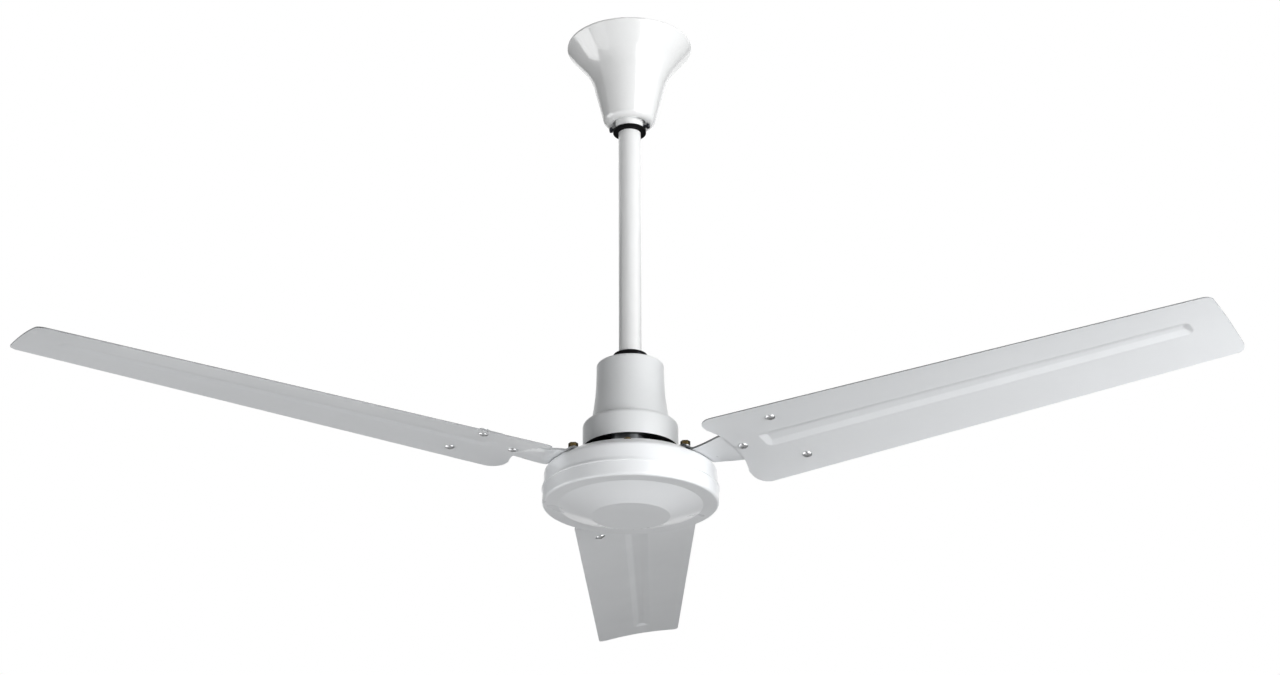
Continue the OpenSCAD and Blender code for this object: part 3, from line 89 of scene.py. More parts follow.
def finish(name, code, rough, metallic=0.0, coat=0.0, tint="", tint_mm=60.0, share=0.5, grain_mm=0.0,
           grain=0.0, stretch=(1, 1, 1), rough_swing=0.08, spec=0.5):
    """A paint, plastic or metal: a slow change of tint and of gloss, and a fine relief of grain_mm."""
    mat = bpy.data.materials.new(name)
    mat.use_nodes = True
    tree = mat.node_tree
    shader = tree.nodes["Principled BSDF"]
    place = add(tree, "ShaderNodeTexCoord").outputs["Object"]
    cloud = add(tree, "ShaderNodeTexNoise", Vector=place, Scale=1000 / tint_mm, Detail=4.0, Roughness=0.6)
    soft = add(tree, "ShaderNodeMapRange", Value=cloud.outputs["Fac"], From_Min=0.3, From_Max=0.7,
               To_Min=0.0, To_Max=share)
    mix = add(tree, "ShaderNodeMix", {"data_type": "RGBA"}, Factor=soft.outputs["Result"],
              i6=linear(code), i7=linear(tint or code))
    tree.links.new(mix.outputs[2], shader.inputs["Base Color"])
    gloss = add(tree, "ShaderNodeMapRange", Value=cloud.outputs["Fac"], From_Min=0.3, From_Max=0.7,
                To_Min=max(0.03, rough - rough_swing / 2), To_Max=rough + rough_swing / 2)
    tree.links.new(gloss.outputs["Result"], shader.inputs["Roughness"])
    shader.inputs["Metallic"].default_value = metallic
    shader.inputs["Coat Weight"].default_value = coat
    shader.inputs["Coat Roughness"].default_value = 0.06
    shader.inputs["Specular IOR Level"].default_value = spec
    if grain:
        drawn = add(tree, "ShaderNodeMapping", Vector=place, Scale=stretch)
        fine = add(tree, "ShaderNodeTexNoise", Vector=drawn.outputs["Vector"], Scale=1000 / grain_mm,
                   Detail=2.0)
        bump = add(tree, "ShaderNodeBump", Height=fine.outputs["Fac"], Strength=grain,
                   Distance=grain_mm / 4000)
        tree.links.new(bump.outputs["Normal"], shader.inputs["Normal"])
    return mat


# Powder enamel, sprayed and stoved: white, glossy, with the faint orange peel of its flow
gloss_enamel = finish("white_gloss_enamel", "#f0f1f1", 0.2, coat=0.6, tint="#eaebeb", tint_mm=90,
                      grain_mm=3, grain=0.05)
# Satin enamel on the spun lower canopy: greyer, with a broad soft highlight
satin_enamel = finish("satin_grey_enamel", "#e8eaeb", 0.34, tint="#e0e2e3", tint_mm=50,
                      grain_mm=2, grain=0.08)
# Enamel on the pressed casings: white with a soft gloss
casing_enamel = finish("casing_enamel", "#eaecee", 0.3, coat=0.25, tint="#e2e4e6", tint_mm=70,
                       grain_mm=2.5, grain=0.06)
# Painted shade inside the lower canopy: a near black finish on the inner face stands in for the shade in the
# gap under it
canopy_inside_painted_shade = finish("canopy_inside_painted_shade", "#1c1d1e", 0.6, tint="#2a2b2c", tint_mm=40, grain_mm=1.5, grain=0.1)
# Thin satin enamel on the blades' sheet, a little uneven in gloss
blade_enamel = finish("blade_enamel", "#e6e8ea", 0.42, tint="#dee0e2", tint_mm=120, grain_mm=2, grain=0.07)
# Painted shade on the cut edges of the blades and arms: a mid grey that stands in for the dark shade lines
# along them
edge_painted_shade = finish("edge_painted_shade_finish", "#8f9193", 0.5, tint="#727476", tint_mm=30, grain_mm=2, grain=0.1)
# Zinc plating on sheet and bolts: dull silver with pale clouds
zinc_plate = finish("zinc_plate", "#b7babd", 0.38, metallic=1.0, tint="#d3d5d6", tint_mm=6, share=0.8,
                    rough_swing=0.2)
# Bright nickel plate on the bearing balls: nearly a mirror
nickel_plate = finish("nickel_plate", "#d9dadb", 0.16, metallic=1.0, tint="#c9cacc", tint_mm=8)
# Nickel plate on the blades' screw heads, dulled by handling
dull_nickel = finish("dull_nickel_plate", "#e2e3e4", 0.34, metallic=1.0, tint="#cfd0d1", tint_mm=4,
                     rough_swing=0.12)
# Turned steel: fine rings round the axis, drawn at 0.6 mm
turned_steel = finish("turned_steel", "#9a9da0", 0.32, metallic=1.0, tint="#85888b", tint_mm=20,
                      grain_mm=60, grain=0.3, stretch=(1, 1, 100))
# Yellow passivated steel gone dark: brown black with brassy clouds
yellow_steel = finish("dark_yellow_passivate", "#2b2519", 0.4, metallic=1.0, tint="#7a6842", tint_mm=4,
                      share=0.6)
# Blackened steel of small screws and spring clips
black_steel = finish("blackened_steel", "#33343a", 0.4, metallic=1.0, tint="#45464a", tint_mm=5)
# Moulded black nylon of the collars and the capacitor case
black_nylon = finish("black_nylon", "#070708", 0.6, tint="#0c0c0d", tint_mm=25, grain_mm=1, grain=0.1,
                     spec=0.06)
# Cream moulding compound of the terminal block
cream_moulding = finish("cream_moulding", "#e2dcc8", 0.45, tint="#d8d1ba", tint_mm=20,
                        grain_mm=1, grain=0.08)
# Moulded rubber, matt with a dusty bloom
roller_rubber = finish("roller_rubber", "#222223", 0.75, tint="#343436", tint_mm=10,
                       grain_mm=0.8, grain=0.2)
# Iron laminations 0.5 mm thick, drawn as 1 mm bands across the stack
iron_stack = finish("iron_laminations", "#5d5f63", 0.5, metallic=1.0, tint="#47484b", tint_mm=15,
                    grain_mm=100, grain=0.6, stretch=(1, 1, 100))
# Enamelled copper wire of the windings, with a fine relief for its turns
copper_wire = finish("copper_wire", "#a4602f", 0.3, metallic=1.0, tint="#7d431d", tint_mm=8,
                     grain_mm=1.2, grain=0.8)
# Die cast aluminium of the rotor's cage: dull and slightly rough
cast_aluminium = finish("cast_aluminium", "#b5b7b9", 0.5, metallic=1.0, tint="#a2a4a6", tint_mm=12,
                        grain_mm=1.5, grain=0.3)
# Pressed brass of the ball cages
cage_brass = finish("pressed_brass", "#b39a5a", 0.3, metallic=1.0, tint="#9a8347", tint_mm=8)


# Mesh building

def piece(name, verts, faces, mat, node, angle=30, other=None, has_other=None):
    """A mesh object from arrays in millimetres, smooth up to the given angle, in the place of a CAD node.

    The faces marked in has_other get the other finish.
    """
    mesh = bpy.data.meshes.new(name)
    mesh.from_pydata((np.asarray(verts) / 1000).tolist(), [],
                     faces.tolist() if isinstance(faces, np.ndarray) else faces)
    mesh.materials.append(mat)
    if other:
        mesh.materials.append(other)
        mesh.polygons.foreach_set("material_index", np.asarray(has_other).astype(np.int32))
    mesh.validate()
    mesh.shade_smooth()
    mesh.set_sharp_from_angle(angle=math.radians(angle))
    obj = bpy.data.objects.new(name, mesh)
    bpy.context.scene.collection.objects.link(obj)
    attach(obj, body_of_node[node])
    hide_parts(node)
    return obj


def arc(c, r, a0, a1, step=3.0):
    """Points on a circle round c from angle a0 to a1, one for every few degrees."""
    a = np.radians(np.linspace(a0, a1, max(2, int(abs(a1 - a0) / step) + 2)))
    return np.stack([c[0] + r * np.cos(a), c[1] + r * np.sin(a)], -1)


def corner(a, p, b, r):
    """Corner p between a and b rounded by r: the arc that touches both sides."""
    u = (a - p) / np.linalg.norm(a - p)
    v = (b - p) / np.linalg.norm(b - p)
    half = math.acos(max(-1.0, min(1.0, float(u @ v)))) / 2
    nearly_straight = 1.569
    if r <= 0 or half > nearly_straight:
        return p[None, :]
    c = p + (u + v) / np.linalg.norm(u + v) * r / math.sin(half)
    s = p + u * r / math.tan(half) - c
    e = p + v * r / math.tan(half) - c
    a0 = math.degrees(math.atan2(s[1], s[0]))
    turn = (math.degrees(math.atan2(e[1], e[0])) - a0 + 900) % 360 - 180
    return arc(c, r, a0, a0 + turn)


def rounded(path, closed):
    """Points of a path of [x, y, radius] with its corners rounded."""
    p = np.array(path, float)
    n = len(p)
    parts = []
    for i in range(n):
        if not closed and i in (0, n - 1):
            parts.append(p[i:i + 1, :2])
        else:
            parts.append(corner(p[i - 1, :2], p[i, :2], p[(i + 1) % n, :2], p[i, 2]))
    return np.concatenate(parts)


def sheet(path, t):
    """Outline of a bent sheet: the path, and the path moved t to its left.

    The bends of both lie round the same centres, so the sheet keeps its thickness in them.
    """
    p = np.array(path, float)
    d = np.diff(p[:, :2], axis=0)
    d /= np.linalg.norm(d, axis=1, keepdims=True)
    before = np.vstack([d[:1], d])
    after = np.vstack([d, d[-1:]])
    left = np.stack([-before[:, 1] - after[:, 1], before[:, 0] + after[:, 0]], -1)
    left /= np.linalg.norm(left, axis=1, keepdims=True)
    reach = t / (left[:, 0] * -before[:, 1] + left[:, 1] * before[:, 0])
    bend = np.sign(before[:, 0] * after[:, 1] - before[:, 1] * after[:, 0])
    radius = np.where(p[:, 2] == 0, 0, np.maximum(0.05, p[:, 2] - bend * t))
    inner = np.column_stack([p[:, :2] + left * reach[:, None], radius])
    return np.concatenate([rounded(path, False), rounded(inner, False)[::-1]])


def weld(mesh, distance):
    """Merges points that lie together and turns the faces outward."""
    work = bmesh.new()
    work.from_mesh(mesh)
    bmesh.ops.remove_doubles(work, verts=work.verts, dist=distance)
    bmesh.ops.recalc_face_normals(work, faces=work.faces)
    work.to_mesh(mesh)
    work.free()


def turned(name, outline, z0, mat, node, steps=256, inside=None):
    """A closed outline of [radius, height] carried once round the Z axis: x = r cos t, y = r sin t.

    A finish for the inside goes on the second half of the outline, which is a sheet's inner face.
    """
    n = len(outline)
    t = np.linspace(0, 2 * np.pi, steps, endpoint=False)[:, None]
    r = outline[None, :, 0]
    z = np.broadcast_to(outline[None, :, 1] + z0, (steps, n))
    verts = np.stack([r * np.cos(t), r * np.sin(t), z], -1)
    i = np.arange(steps)[:, None]
    j = np.arange(n)[None, :]
    k, m = (i + 1) % steps, (j + 1) % n
    faces = np.stack([i * n + j, k * n + j, k * n + m, i * n + m], -1).reshape(-1, 4)
    on_axis = (outline[:, 0] < 1e-6) & (np.roll(outline[:, 0], -1) < 1e-6)
    faces = faces[~on_axis[faces[:, 0] % n]]
    obj = piece(name, verts.reshape(-1, 3), faces, mat, node, other=inside,
                has_other=faces[:, 0] % n >= n // 2)
    if (outline[:, 0] < 1e-6).any():
        weld(obj.data, 1e-6)
    return obj


def dressed(node, mat, angle=32, bevel=0.0):
    """A CAD node's surface merged into one skin, smooth over its facets, with small worn edges."""
    source = nodes[node].data
    n = len(source.vertices)
    co = np.empty(n * 3)
    source.vertices.foreach_get("co", co)
    source.calc_loop_triangles()
    tri = np.empty(len(source.loop_triangles) * 3, int)
    source.loop_triangles.foreach_get("vertices", tri)
    spots, index = np.unique(np.round(co.reshape(-1, 3) * 1e6).astype(int), axis=0, return_inverse=True)
    faces = index.reshape(-1)[tri].reshape(-1, 3)
    flat = (faces[:, 0] == faces[:, 1]) | (faces[:, 1] == faces[:, 2]) | (faces[:, 0] == faces[:, 2])
    obj = piece(node + "_dressed", spots / 1000, faces[~flat], mat, node, angle)
    if bevel:
        work = bmesh.new()
        work.from_mesh(obj.data)
        bmesh.ops.dissolve_limit(work, angle_limit=math.radians(1), verts=work.verts, edges=work.edges)
        work.to_mesh(obj.data)
        work.free()
        obj.data.shade_smooth()
        obj.data.set_sharp_from_angle(angle=math.radians(angle))
        edge = obj.modifiers.new("worn_edges", "BEVEL")
        edge.width = bevel / 1000
        edge.segments = 2
        edge.limit_method = "ANGLE"
        edge.angle_limit = math.radians(angle)
    return obj


def corners_of(mesh):
    """Places of a mesh's vertices, in millimetres."""
    co = np.empty(len(mesh.vertices) * 3)
    mesh.vertices.foreach_get("co", co)
    return co.reshape(-1, 3) * 1000


def move_corners(mesh, co):
    """Puts a mesh's vertices at new places, in millimetres."""
    mesh.vertices.foreach_set("co", (co / 1000).reshape(-1))


# Upper canopy: a spun bell with a rolled rim and a hollow round its neck
NECK_R, NECK_L = 17.0, 12.0
HOLLOW, HOLLOW_TOP, HOLLOW_FOOT = 4.1, 2.9, 3.8
CANOPY_H, CANOPY_R, FOOT_R = 114.8, 76.1, 30.3
RIM_H, RIM_IN = 2.3, 3.0
WALL_SLOPE, FLARE_SLOPE, FLARE_BEND_R = 13.7, 39.2, 81.0
lip_h = NECK_L - HOLLOW
rim_h = CANOPY_H - RIM_H
wall_slope = math.tan(math.radians(WALL_SLOPE))
flare_slope = math.tan(math.radians(FLARE_SLOPE))
bend_h = (FOOT_R - lip_h * wall_slope - CANOPY_R + rim_h * flare_slope) / (flare_slope - wall_slope)
bend_r = FOOT_R + (bend_h - lip_h) * wall_slope
bell = sheet([[NECK_R, 0, 0], [NECK_R, NECK_L, 0.8], [NECK_R + HOLLOW_TOP, NECK_L, 1.5],
              [NECK_R + HOLLOW_FOOT, lip_h, 1.5], [FOOT_R, lip_h, 9.5], [bend_r, bend_h, FLARE_BEND_R],
              [CANOPY_R, rim_h, 2.5], [CANOPY_R, CANOPY_H, 1.2],
              [CANOPY_R - RIM_IN, CANOPY_H, 0]], CANOPY_T)
turned("upper_canopy_bell", bell, NECK_EDGE_Z, gloss_enamel, "upper_canopy")

# Upper collar: a flange under the neck and a sleeve inside it
FLANGE_T, SLEEVE_H = 4.0, 11.0
upper_ring = rounded([[COLLAR_BORE, -FLANGE_T, 0], [COLLAR_R, -FLANGE_T, 0.8], [COLLAR_R, 0, 0.3],
                      [SPIGOT_R, 0, 0], [SPIGOT_R, SLEEVE_H, 0], [COLLAR_BORE, SLEEVE_H, 0]], True)
turned("upper_collar_ring", upper_ring, NECK_EDGE_Z, black_nylon, "upper_collar")

# Tube of the downrod, with its cut ends slightly rounded
tube = rounded([[ROD_R - ROD_WALL, ROD_END_Z, 0.3], [ROD_R, ROD_END_Z, 0.4], [ROD_R, ROD_TOP_Z, 0.4],
                [ROD_R - ROD_WALL, ROD_TOP_Z, 0.3]], True)
turned("downrod_tube", tube, 0, gloss_enamel, "downrod")

# Lower canopy: a base ring, a shoulder and a waist that curves up to a rounded top, with painted shade
# inside
LOWER_H, WAIST_R, WAIST_CURVE, WAIST_TOP = 104.6, 39.3, 310.0, 11.0
BASE_H, BASE_R, SHOULDER_STRAIGHT = 31.0, 55.2, 2.4
waist_top = LOWER_H - WAIST_TOP
waist_turn = math.asin((waist_top - BASE_H - SHOULDER_STRAIGHT) / WAIST_CURVE)
waist_h = waist_top - WAIST_CURVE * math.tan(waist_turn / 2)
shoulder_r = WAIST_R + (waist_h - BASE_H) * math.tan(waist_turn)
bowl = sheet([[BASE_R, 0, 0], [BASE_R, BASE_H, 6], [shoulder_r, BASE_H, 2], [WAIST_R, waist_h, WAIST_CURVE],
              [WAIST_R, LOWER_H, 3], [NECK_BORE, LOWER_H, 0]], CANOPY_T)
# The inner face gets the near black finish, painted shade for the gap under the canopy
turned("lower_canopy_bowl", bowl, BASE_Z, satin_enamel, "lower_canopy", inside=canopy_inside_painted_shade)

# Lower collar: a spigot in the canopy's top and a ring above it
SPIGOT_L, LOWER_COLLAR_H = 1.12, 13.0
lower_ring = rounded([[COLLAR_BORE, -SPIGOT_L, 0], [SPIGOT_R, -SPIGOT_L, 0], [SPIGOT_R, 0, 0],
                      [COLLAR_R, 0, 0.5], [COLLAR_R, LOWER_COLLAR_H, 1.2],
                      [COLLAR_BORE, LOWER_COLLAR_H, 0.5]], True)
turned("lower_collar_ring", lower_ring, BASE_Z + LOWER_H, black_nylon, "lower_collar")

# Lower casing: disc, cone, flat ring and wall in one pressing, with a small lip along the seam
TOP_H = 11.5
DISC_R, CONE_R = 45.0, 82.7
DISC_H, RING_H, SEAM_H = TOP_H - 66.7, TOP_H - 53.5, TOP_H - 34
LOWER_R = CASING_R + CLOSE_GAP + CASING_T
SEAM_LIP, LIP_H, LIP_SLOPE = 0.6, 1.7, 0.3
pan = sheet([[0, DISC_H, 0], [DISC_R, DISC_H, 3], [CONE_R, RING_H, 2], [LOWER_R, RING_H, 3],
             [LOWER_R, SEAM_H - LIP_H - LIP_SLOPE, 0.3], [LOWER_R + SEAM_LIP, SEAM_H - LIP_H, 0.2],
             [LOWER_R + SEAM_LIP, SEAM_H, 0]], CASING_T)
pan = pan[pan[:, 0] > -1e-6]
turned("lower_casing_pan", pan, PLANE_Z, casing_enamel, "lower_casing")


# Blades: a cambered sheet with a bead pressed up along its middle
SCREW_R, SKEW, RISE, PITCH, CAMBER_R = 149.0, 1.85, 2.45, 9.65, 455.0
BLADE_T, ROOT_HALF, TIP_HALF, ROOT_CORNER, TIP_CORNER = 1.2, 75.0, 56.0, 19.0, 10.0
ROOT_EDGE_R, ROOT_EDGE_HALF, TIP_CIRCLE_R, TIP_TRIM = 139.0, 48.0, 711.0, 2.0
BLADE_L = math.sqrt(TIP_CIRCLE_R ** 2 - (TIP_HALF - TIP_CORNER) ** 2) - SCREW_R + TIP_TRIM
BEAD_H, BEAD_SIDE, BEAD_START, BEAD_END, BEAD_SHIFT = 2.7, 8.0, 25.0, BLADE_L - 38, -5.4
BEAD_HALF, BEAD_TAPER, BEAD_CORNER = 14.5, 3.5, 7.0

# Sag of each blade in degrees: in the photograph the left one hangs a little lower than the others
SAG = (0, 0, 0.35)


def ramp(t, e=0.14):
    """Rises from 0 to 1 in a straight line with a parabola of half length e at each end."""
    low = (t + e) ** 2 / (4 * e)
    high = 1 - (1 + e - t) ** 2 / (4 * e)
    return np.select([t <= -e, t < e, t < 1 - e, t < 1 + e], [0 * t, low, t, high], 1.0)


def quarter(x, r):
    """Height of a quarter circle of radius r at x past its top: the root of r^2 - x^2, from r down to 0."""
    return np.sqrt(np.maximum(0, r ** 2 - np.maximum(0, x) ** 2))


def tilted(x, y, z, sag=0.0):
    """Blade frame to the arm's frame: pitch about X, rise about Y, skew about Z, then out by SCREW_R."""
    p, r, k = np.radians([PITCH, RISE - sag, SKEW])
    y, z = y * np.cos(p) + z * np.sin(p), -y * np.sin(p) + z * np.cos(p)
    x, z = x * np.cos(r) - z * np.sin(r), x * np.sin(r) + z * np.cos(r)
    return SCREW_R + x * np.cos(k) - y * np.sin(k), x * np.sin(k) + y * np.cos(k), z


def on_arm(x, y, z, i):
    """Arm's frame, with X along arm i, to the fan's frame."""
    a = math.radians(REST_TURN + 120 * i)
    return np.stack([x * np.cos(a) - y * np.sin(a), x * np.sin(a) + y * np.cos(a), z + PLANE_Z], -1)


def blade_face(s, v, lift):
    """Face of the blade at s from root to tip and v from edge to edge, lifted over the underside.

    The side lines taper, the root edge is an arc round the fan's axis, and both ends have round corners.
    The height is the camber's circle plus the bead, which ramps up over the bead's sides and ends.
    """
    yr = np.abs(v) * ROOT_HALF
    yt = np.abs(v) * TIP_HALF
    root = np.where(yr < ROOT_EDGE_HALF,
                    np.sqrt(ROOT_EDGE_R ** 2 - np.minimum(yr, ROOT_EDGE_HALF) ** 2) - SCREW_R,
                    -quarter(yr - ROOT_HALF + ROOT_CORNER, ROOT_CORNER))
    tip = BLADE_L - TIP_CORNER + quarter(yt - TIP_HALF + TIP_CORNER, TIP_CORNER)
    x = root + (tip - root) * s
    half = ROOT_HALF - (ROOT_HALF - TIP_HALF) * x / (BLADE_L - TIP_CORNER)
    along = (x - BEAD_START) / (BEAD_END - BEAD_START)
    middle = BEAD_SHIFT * np.clip(along, 0, 1.05)
    y = v * half + middle * (1 - v * v)
    side = BEAD_HALF - BEAD_TAPER * along - np.abs(y - middle)
    end = np.minimum(x - BEAD_START, BEAD_END - x)
    past = np.hypot(BEAD_CORNER - np.minimum(side, BEAD_CORNER),
                    BEAD_CORNER - np.minimum(end, BEAD_CORNER))
    in_corner = (side < BEAD_CORNER) & (end < BEAD_CORNER)
    inside = np.where(in_corner, BEAD_CORNER - past, np.minimum(side, end))
    z = np.sqrt((CAMBER_R + lift) ** 2 - y * y) - CAMBER_R + BEAD_H * ramp(inside / BEAD_SIDE)
    return x, y, z


def marks(*spans):
    """Numbers along a line: each span is (from, to, count), with shared ends given once."""
    return np.unique(np.concatenate([np.linspace(*span) for span in spans]))


def blade(i):
    """Upper and lower face on one grid, finest at the bead's ends and sides, joined round the outline."""
    s = marks((0, 0.05, 8), (0.05, 0.09, 24), (0.09, 0.9, 90), (0.9, 0.945, 24), (0.945, 1, 10))
    w = marks((0, 0.07, 6), (0.07, 0.215, 22), (0.215, 0.6, 14), (0.6, 1, 26))
    w = np.where(w > 0.6, 0.6 + 0.4 * np.sin((w - 0.6) / 0.4 * np.pi / 2), w)
    v = np.concatenate([-w[:0:-1], w])
    s_grid, v_grid = np.meshgrid(s, v, indexing="ij")
    rows, cols = s_grid.shape
    skins = [on_arm(*tilted(*blade_face(s_grid, v_grid, lift), SAG[i]), i).reshape(-1, 3)
             for lift in (0.0, BLADE_T)]
    a = (np.arange(rows - 1)[:, None] * cols + np.arange(cols - 1)[None, :]).reshape(-1)
    top = rows * cols
    low = np.stack([a, a + 1, a + cols + 1, a + cols], -1)
    high = np.stack([a, a + cols, a + cols + 1, a + 1], -1) + top
    j = np.arange(cols - 1)
    first = np.arange(rows - 1) * cols
    last = (rows - 1) * cols
    ends = [np.stack([j, j + top, j + 1 + top, j + 1], -1),
            np.stack([last + j + 1, last + j + 1 + top, last + j + top, last + j], -1)]
    far = first + cols - 1
    sides = [np.stack([first + cols, first + cols + top, first + top, first], -1),
             np.stack([far, far + top, far + cols + top, far + cols], -1)]
    faces = np.concatenate([low, high] + ends + sides)
    node = "blade_%d" % (i + 1)
    # Its edge faces get the grey of painted shade
    return piece(node + "_sheet", np.concatenate(skins), faces, blade_enamel, node,
                 other=edge_painted_shade, has_other=np.arange(len(faces)) >= len(low) + len(high))


# Blade arms: a narrow flat root, a broad neck that follows the casing's shoulder down, and a fork
ARM_T, FORK_GAP = 2.5, 0.1
SHOULDER_R, NECK_R_END, NECK_LOW, BEND_LINE_R = 78.5, 97.0, -1.0, 180.0
FORK_START_R, FORK_R = NECK_R_END + 2, 132.0
SHOULDER_EASE, FORK_EASE = 0.16, 0.2

# Outline of an arm from above: distance from the fan's axis, distance across, and corner radius
ARM_OUTLINE = [
    [40, 8.5, 6], [40, -8.5, 6], [77, -10, 10], [86, -19, 10], [93, -22.5, 20], [112, -24.5, 40],
    [144, -29, 25], [189.5, -54.4, 20], [216.7, -54.4, 10], [216.7, -34, 10], [185.5, -33, 10],
    [162, -17, 8], [162, 17, 8], [185.5, 33, 10], [216.7, 34, 10], [216.7, 54.4, 10], [189.5, 54.4, 20],
    [144, 29, 25], [112, 27, 40], [93, 26, 20], [86, 20, 10], [77, 10, 10]]


def arm_face(x, y, lift):
    """Face of the arm at x along and y across, lifted over the underside.

    The root is flat, and the shoulder ramps down over the casing's slope along slightly curved bend lines.
    Past it the height and the frame pass in one ramp into the blade's camber at FORK_R, above the blade.
    """
    above = BLADE_T + FORK_GAP + lift
    fork_x, fork_y, fork_z = tilted(np.maximum(x, NECK_R_END) - SCREW_R, y,
                                    np.sqrt((CAMBER_R + above) ** 2 - y * y) - CAMBER_R)
    along = (x + y * y / (2 * BEND_LINE_R) - SHOULDER_R) / (NECK_R_END - SHOULDER_R)
    drop = TOP_H + (NECK_LOW - TOP_H) * ramp(along, SHOULDER_EASE)
    share = ramp((x - FORK_START_R) / (FORK_R - FORK_START_R), FORK_EASE)
    return (x + np.where(share > 0, (fork_x - x) * share, 0), y + (fork_y - y) * share,
            (drop + lift) * (1 - share) + fork_z * share)


def arm(i):
    """The outline in the plane, cut into small cells, whose corners are carried to both faces of the sheet.

    The cells are finest between the shoulder and the fork, where the sheet bends.
    """
    plan = bmesh.new()
    plan.faces.new([plan.verts.new((x, y, 0)) for x, y in rounded(ARM_OUTLINE, True)])
    cuts = [((x, 0, 0), (1, 0, 0)) for x in np.arange(78, 136, 1.0)]
    cuts += [((x, 0, 0), (1, 0, 0)) for x in np.arange(140, 216, 6.0)]
    cuts += [((0, y, 0), (0, 1, 0)) for y in np.arange(-50, 51, 5.0)]
    for place, normal in cuts:
        bmesh.ops.bisect_plane(plan, geom=plan.verts[:] + plan.edges[:] + plan.faces[:], dist=1e-6,
                               plane_co=place, plane_no=normal)
    plan.verts.index_update()
    flat = np.array([v.co[:2] for v in plan.verts])
    cells = [[v.index for v in f.verts] for f in plan.faces]
    rim = [[e.link_loops[0].vert.index, e.link_loops[0].link_loop_next.vert.index]
           for e in plan.edges if e.is_boundary]
    plan.free()
    n = len(flat)
    faces = [c[::-1] for c in cells]
    faces += [[k + n for k in c] for c in cells]
    faces += [[a, b, b + n, a + n] for a, b in rim]
    skins = [on_arm(*arm_face(flat[:, 0], flat[:, 1], lift), i) for lift in (0.0, ARM_T)]
    node = "blade_arm_%d" % (i + 1)
    # Its edge faces get the grey of painted shade
    return piece(node + "_sheet", np.concatenate(skins), faces, casing_enamel, node,
                 other=edge_painted_shade, has_other=np.arange(len(faces)) >= 2 * len(cells))


for number in range(3):
    blade(number)
    arm(number)

# Blade screws: one by the root and two under the fork's prongs, in the blade's frame
SCREW_OUT, SCREW_SIDE = 57.5, 44.2
SCREW_SPOTS = ((0, 0), (SCREW_OUT, SCREW_SIDE), (SCREW_OUT, -SCREW_SIDE))
NUT_FOOT, NUT_REACH, NUT_SHARE = BLADE_T + ARM_T + 0.15, 12.0, 0.28


def lowered(obj, share):
    """Blade nuts or screws with all that stands above the fork lowered to a share of its height.

    The photograph shows the screws' ends hardly above the blade's edge.
    """
    co = corners_of(obj.data)
    for i in range(3):
        for x, y in SCREW_SPOTS:
            a = math.asin(y / CAMBER_R)
            seat, up = (on_arm(*tilted(x, r * math.sin(a), r * math.cos(a) - CAMBER_R), i)
                        for r in (CAMBER_R + NUT_FOOT, CAMBER_R + NUT_FOOT + 1))
            height = (co - seat) @ (up - seat)
            near = (height > 0) & (np.linalg.norm(co - seat, axis=1) < NUT_REACH)
            co[near] -= ((1 - share) * height[near])[:, None] * (up - seat)
    move_corners(obj.data, co)


# How far the upper casing's edge is pressed down at each radius, above a height and off the screw seats
PRESS_RADII = [70, 74, 78, 80, 90, 96]
PRESS_DEPTHS = [0, 0.4, 1.6, 2.3, 1.3, 0]
PRESS_LOW_Z = PLANE_Z - 4
SEAT_R = 7.0


def press_edge(obj):
    """Presses the upper casing's edge a little rounder and lower, as the photograph's gap above it shows.

    The wall's low part and the floors of the three screw seats stay where they are.
    """
    co = corners_of(obj.data)
    radius = np.hypot(co[:, 0], co[:, 1])
    turn = np.radians((np.degrees(np.arctan2(co[:, 1], co[:, 0])) - REST_TURN) % 120 - 60)
    off_screw = np.hypot(radius * np.cos(turn) - CASING_SCREW_R, radius * np.sin(turn))
    on_seat = (off_screw < SEAT_R) & (np.abs(co[:, 2] - SEAT_Z) < 0.4)
    pressed = np.interp(radius, PRESS_RADII, PRESS_DEPTHS)
    pressed[(co[:, 2] < PRESS_LOW_Z) | on_seat] = 0
    co[:, 2] -= pressed
    move_corners(obj.data, co)


press_edge(dressed("upper_casing", casing_enamel))

# Pieces that keep the CAD's own shape, with their facets smoothed, and the width of their worn edges
for node, mat, bevel in (
        ("hanger_bracket", zinc_plate, 0.3), ("hanger_bolt", zinc_plate, 0.25),
        ("hanger_nut", zinc_plate, 0.25), ("rod_strap", zinc_plate, 0.3), ("strap_bolt", zinc_plate, 0.25),
        ("strap_nut", zinc_plate, 0.25), ("rubber_roller", roller_rubber, 0),
        ("terminal_block", cream_moulding, 0.25), ("arm_bolts", yellow_steel, 0.3),
        ("arm_washers", zinc_plate, 0.15), ("blade_screws", dull_nickel, 0), ("blade_nuts", zinc_plate, 0.2),
        ("casing_screws", yellow_steel, 0), ("neck_screws", black_steel, 0),
        ("collar_screw", black_steel, 0)):
    skin = dressed(node, mat, bevel=bevel)
    if node in ("blade_nuts", "blade_screws"):
        lowered(skin, NUT_SHARE)

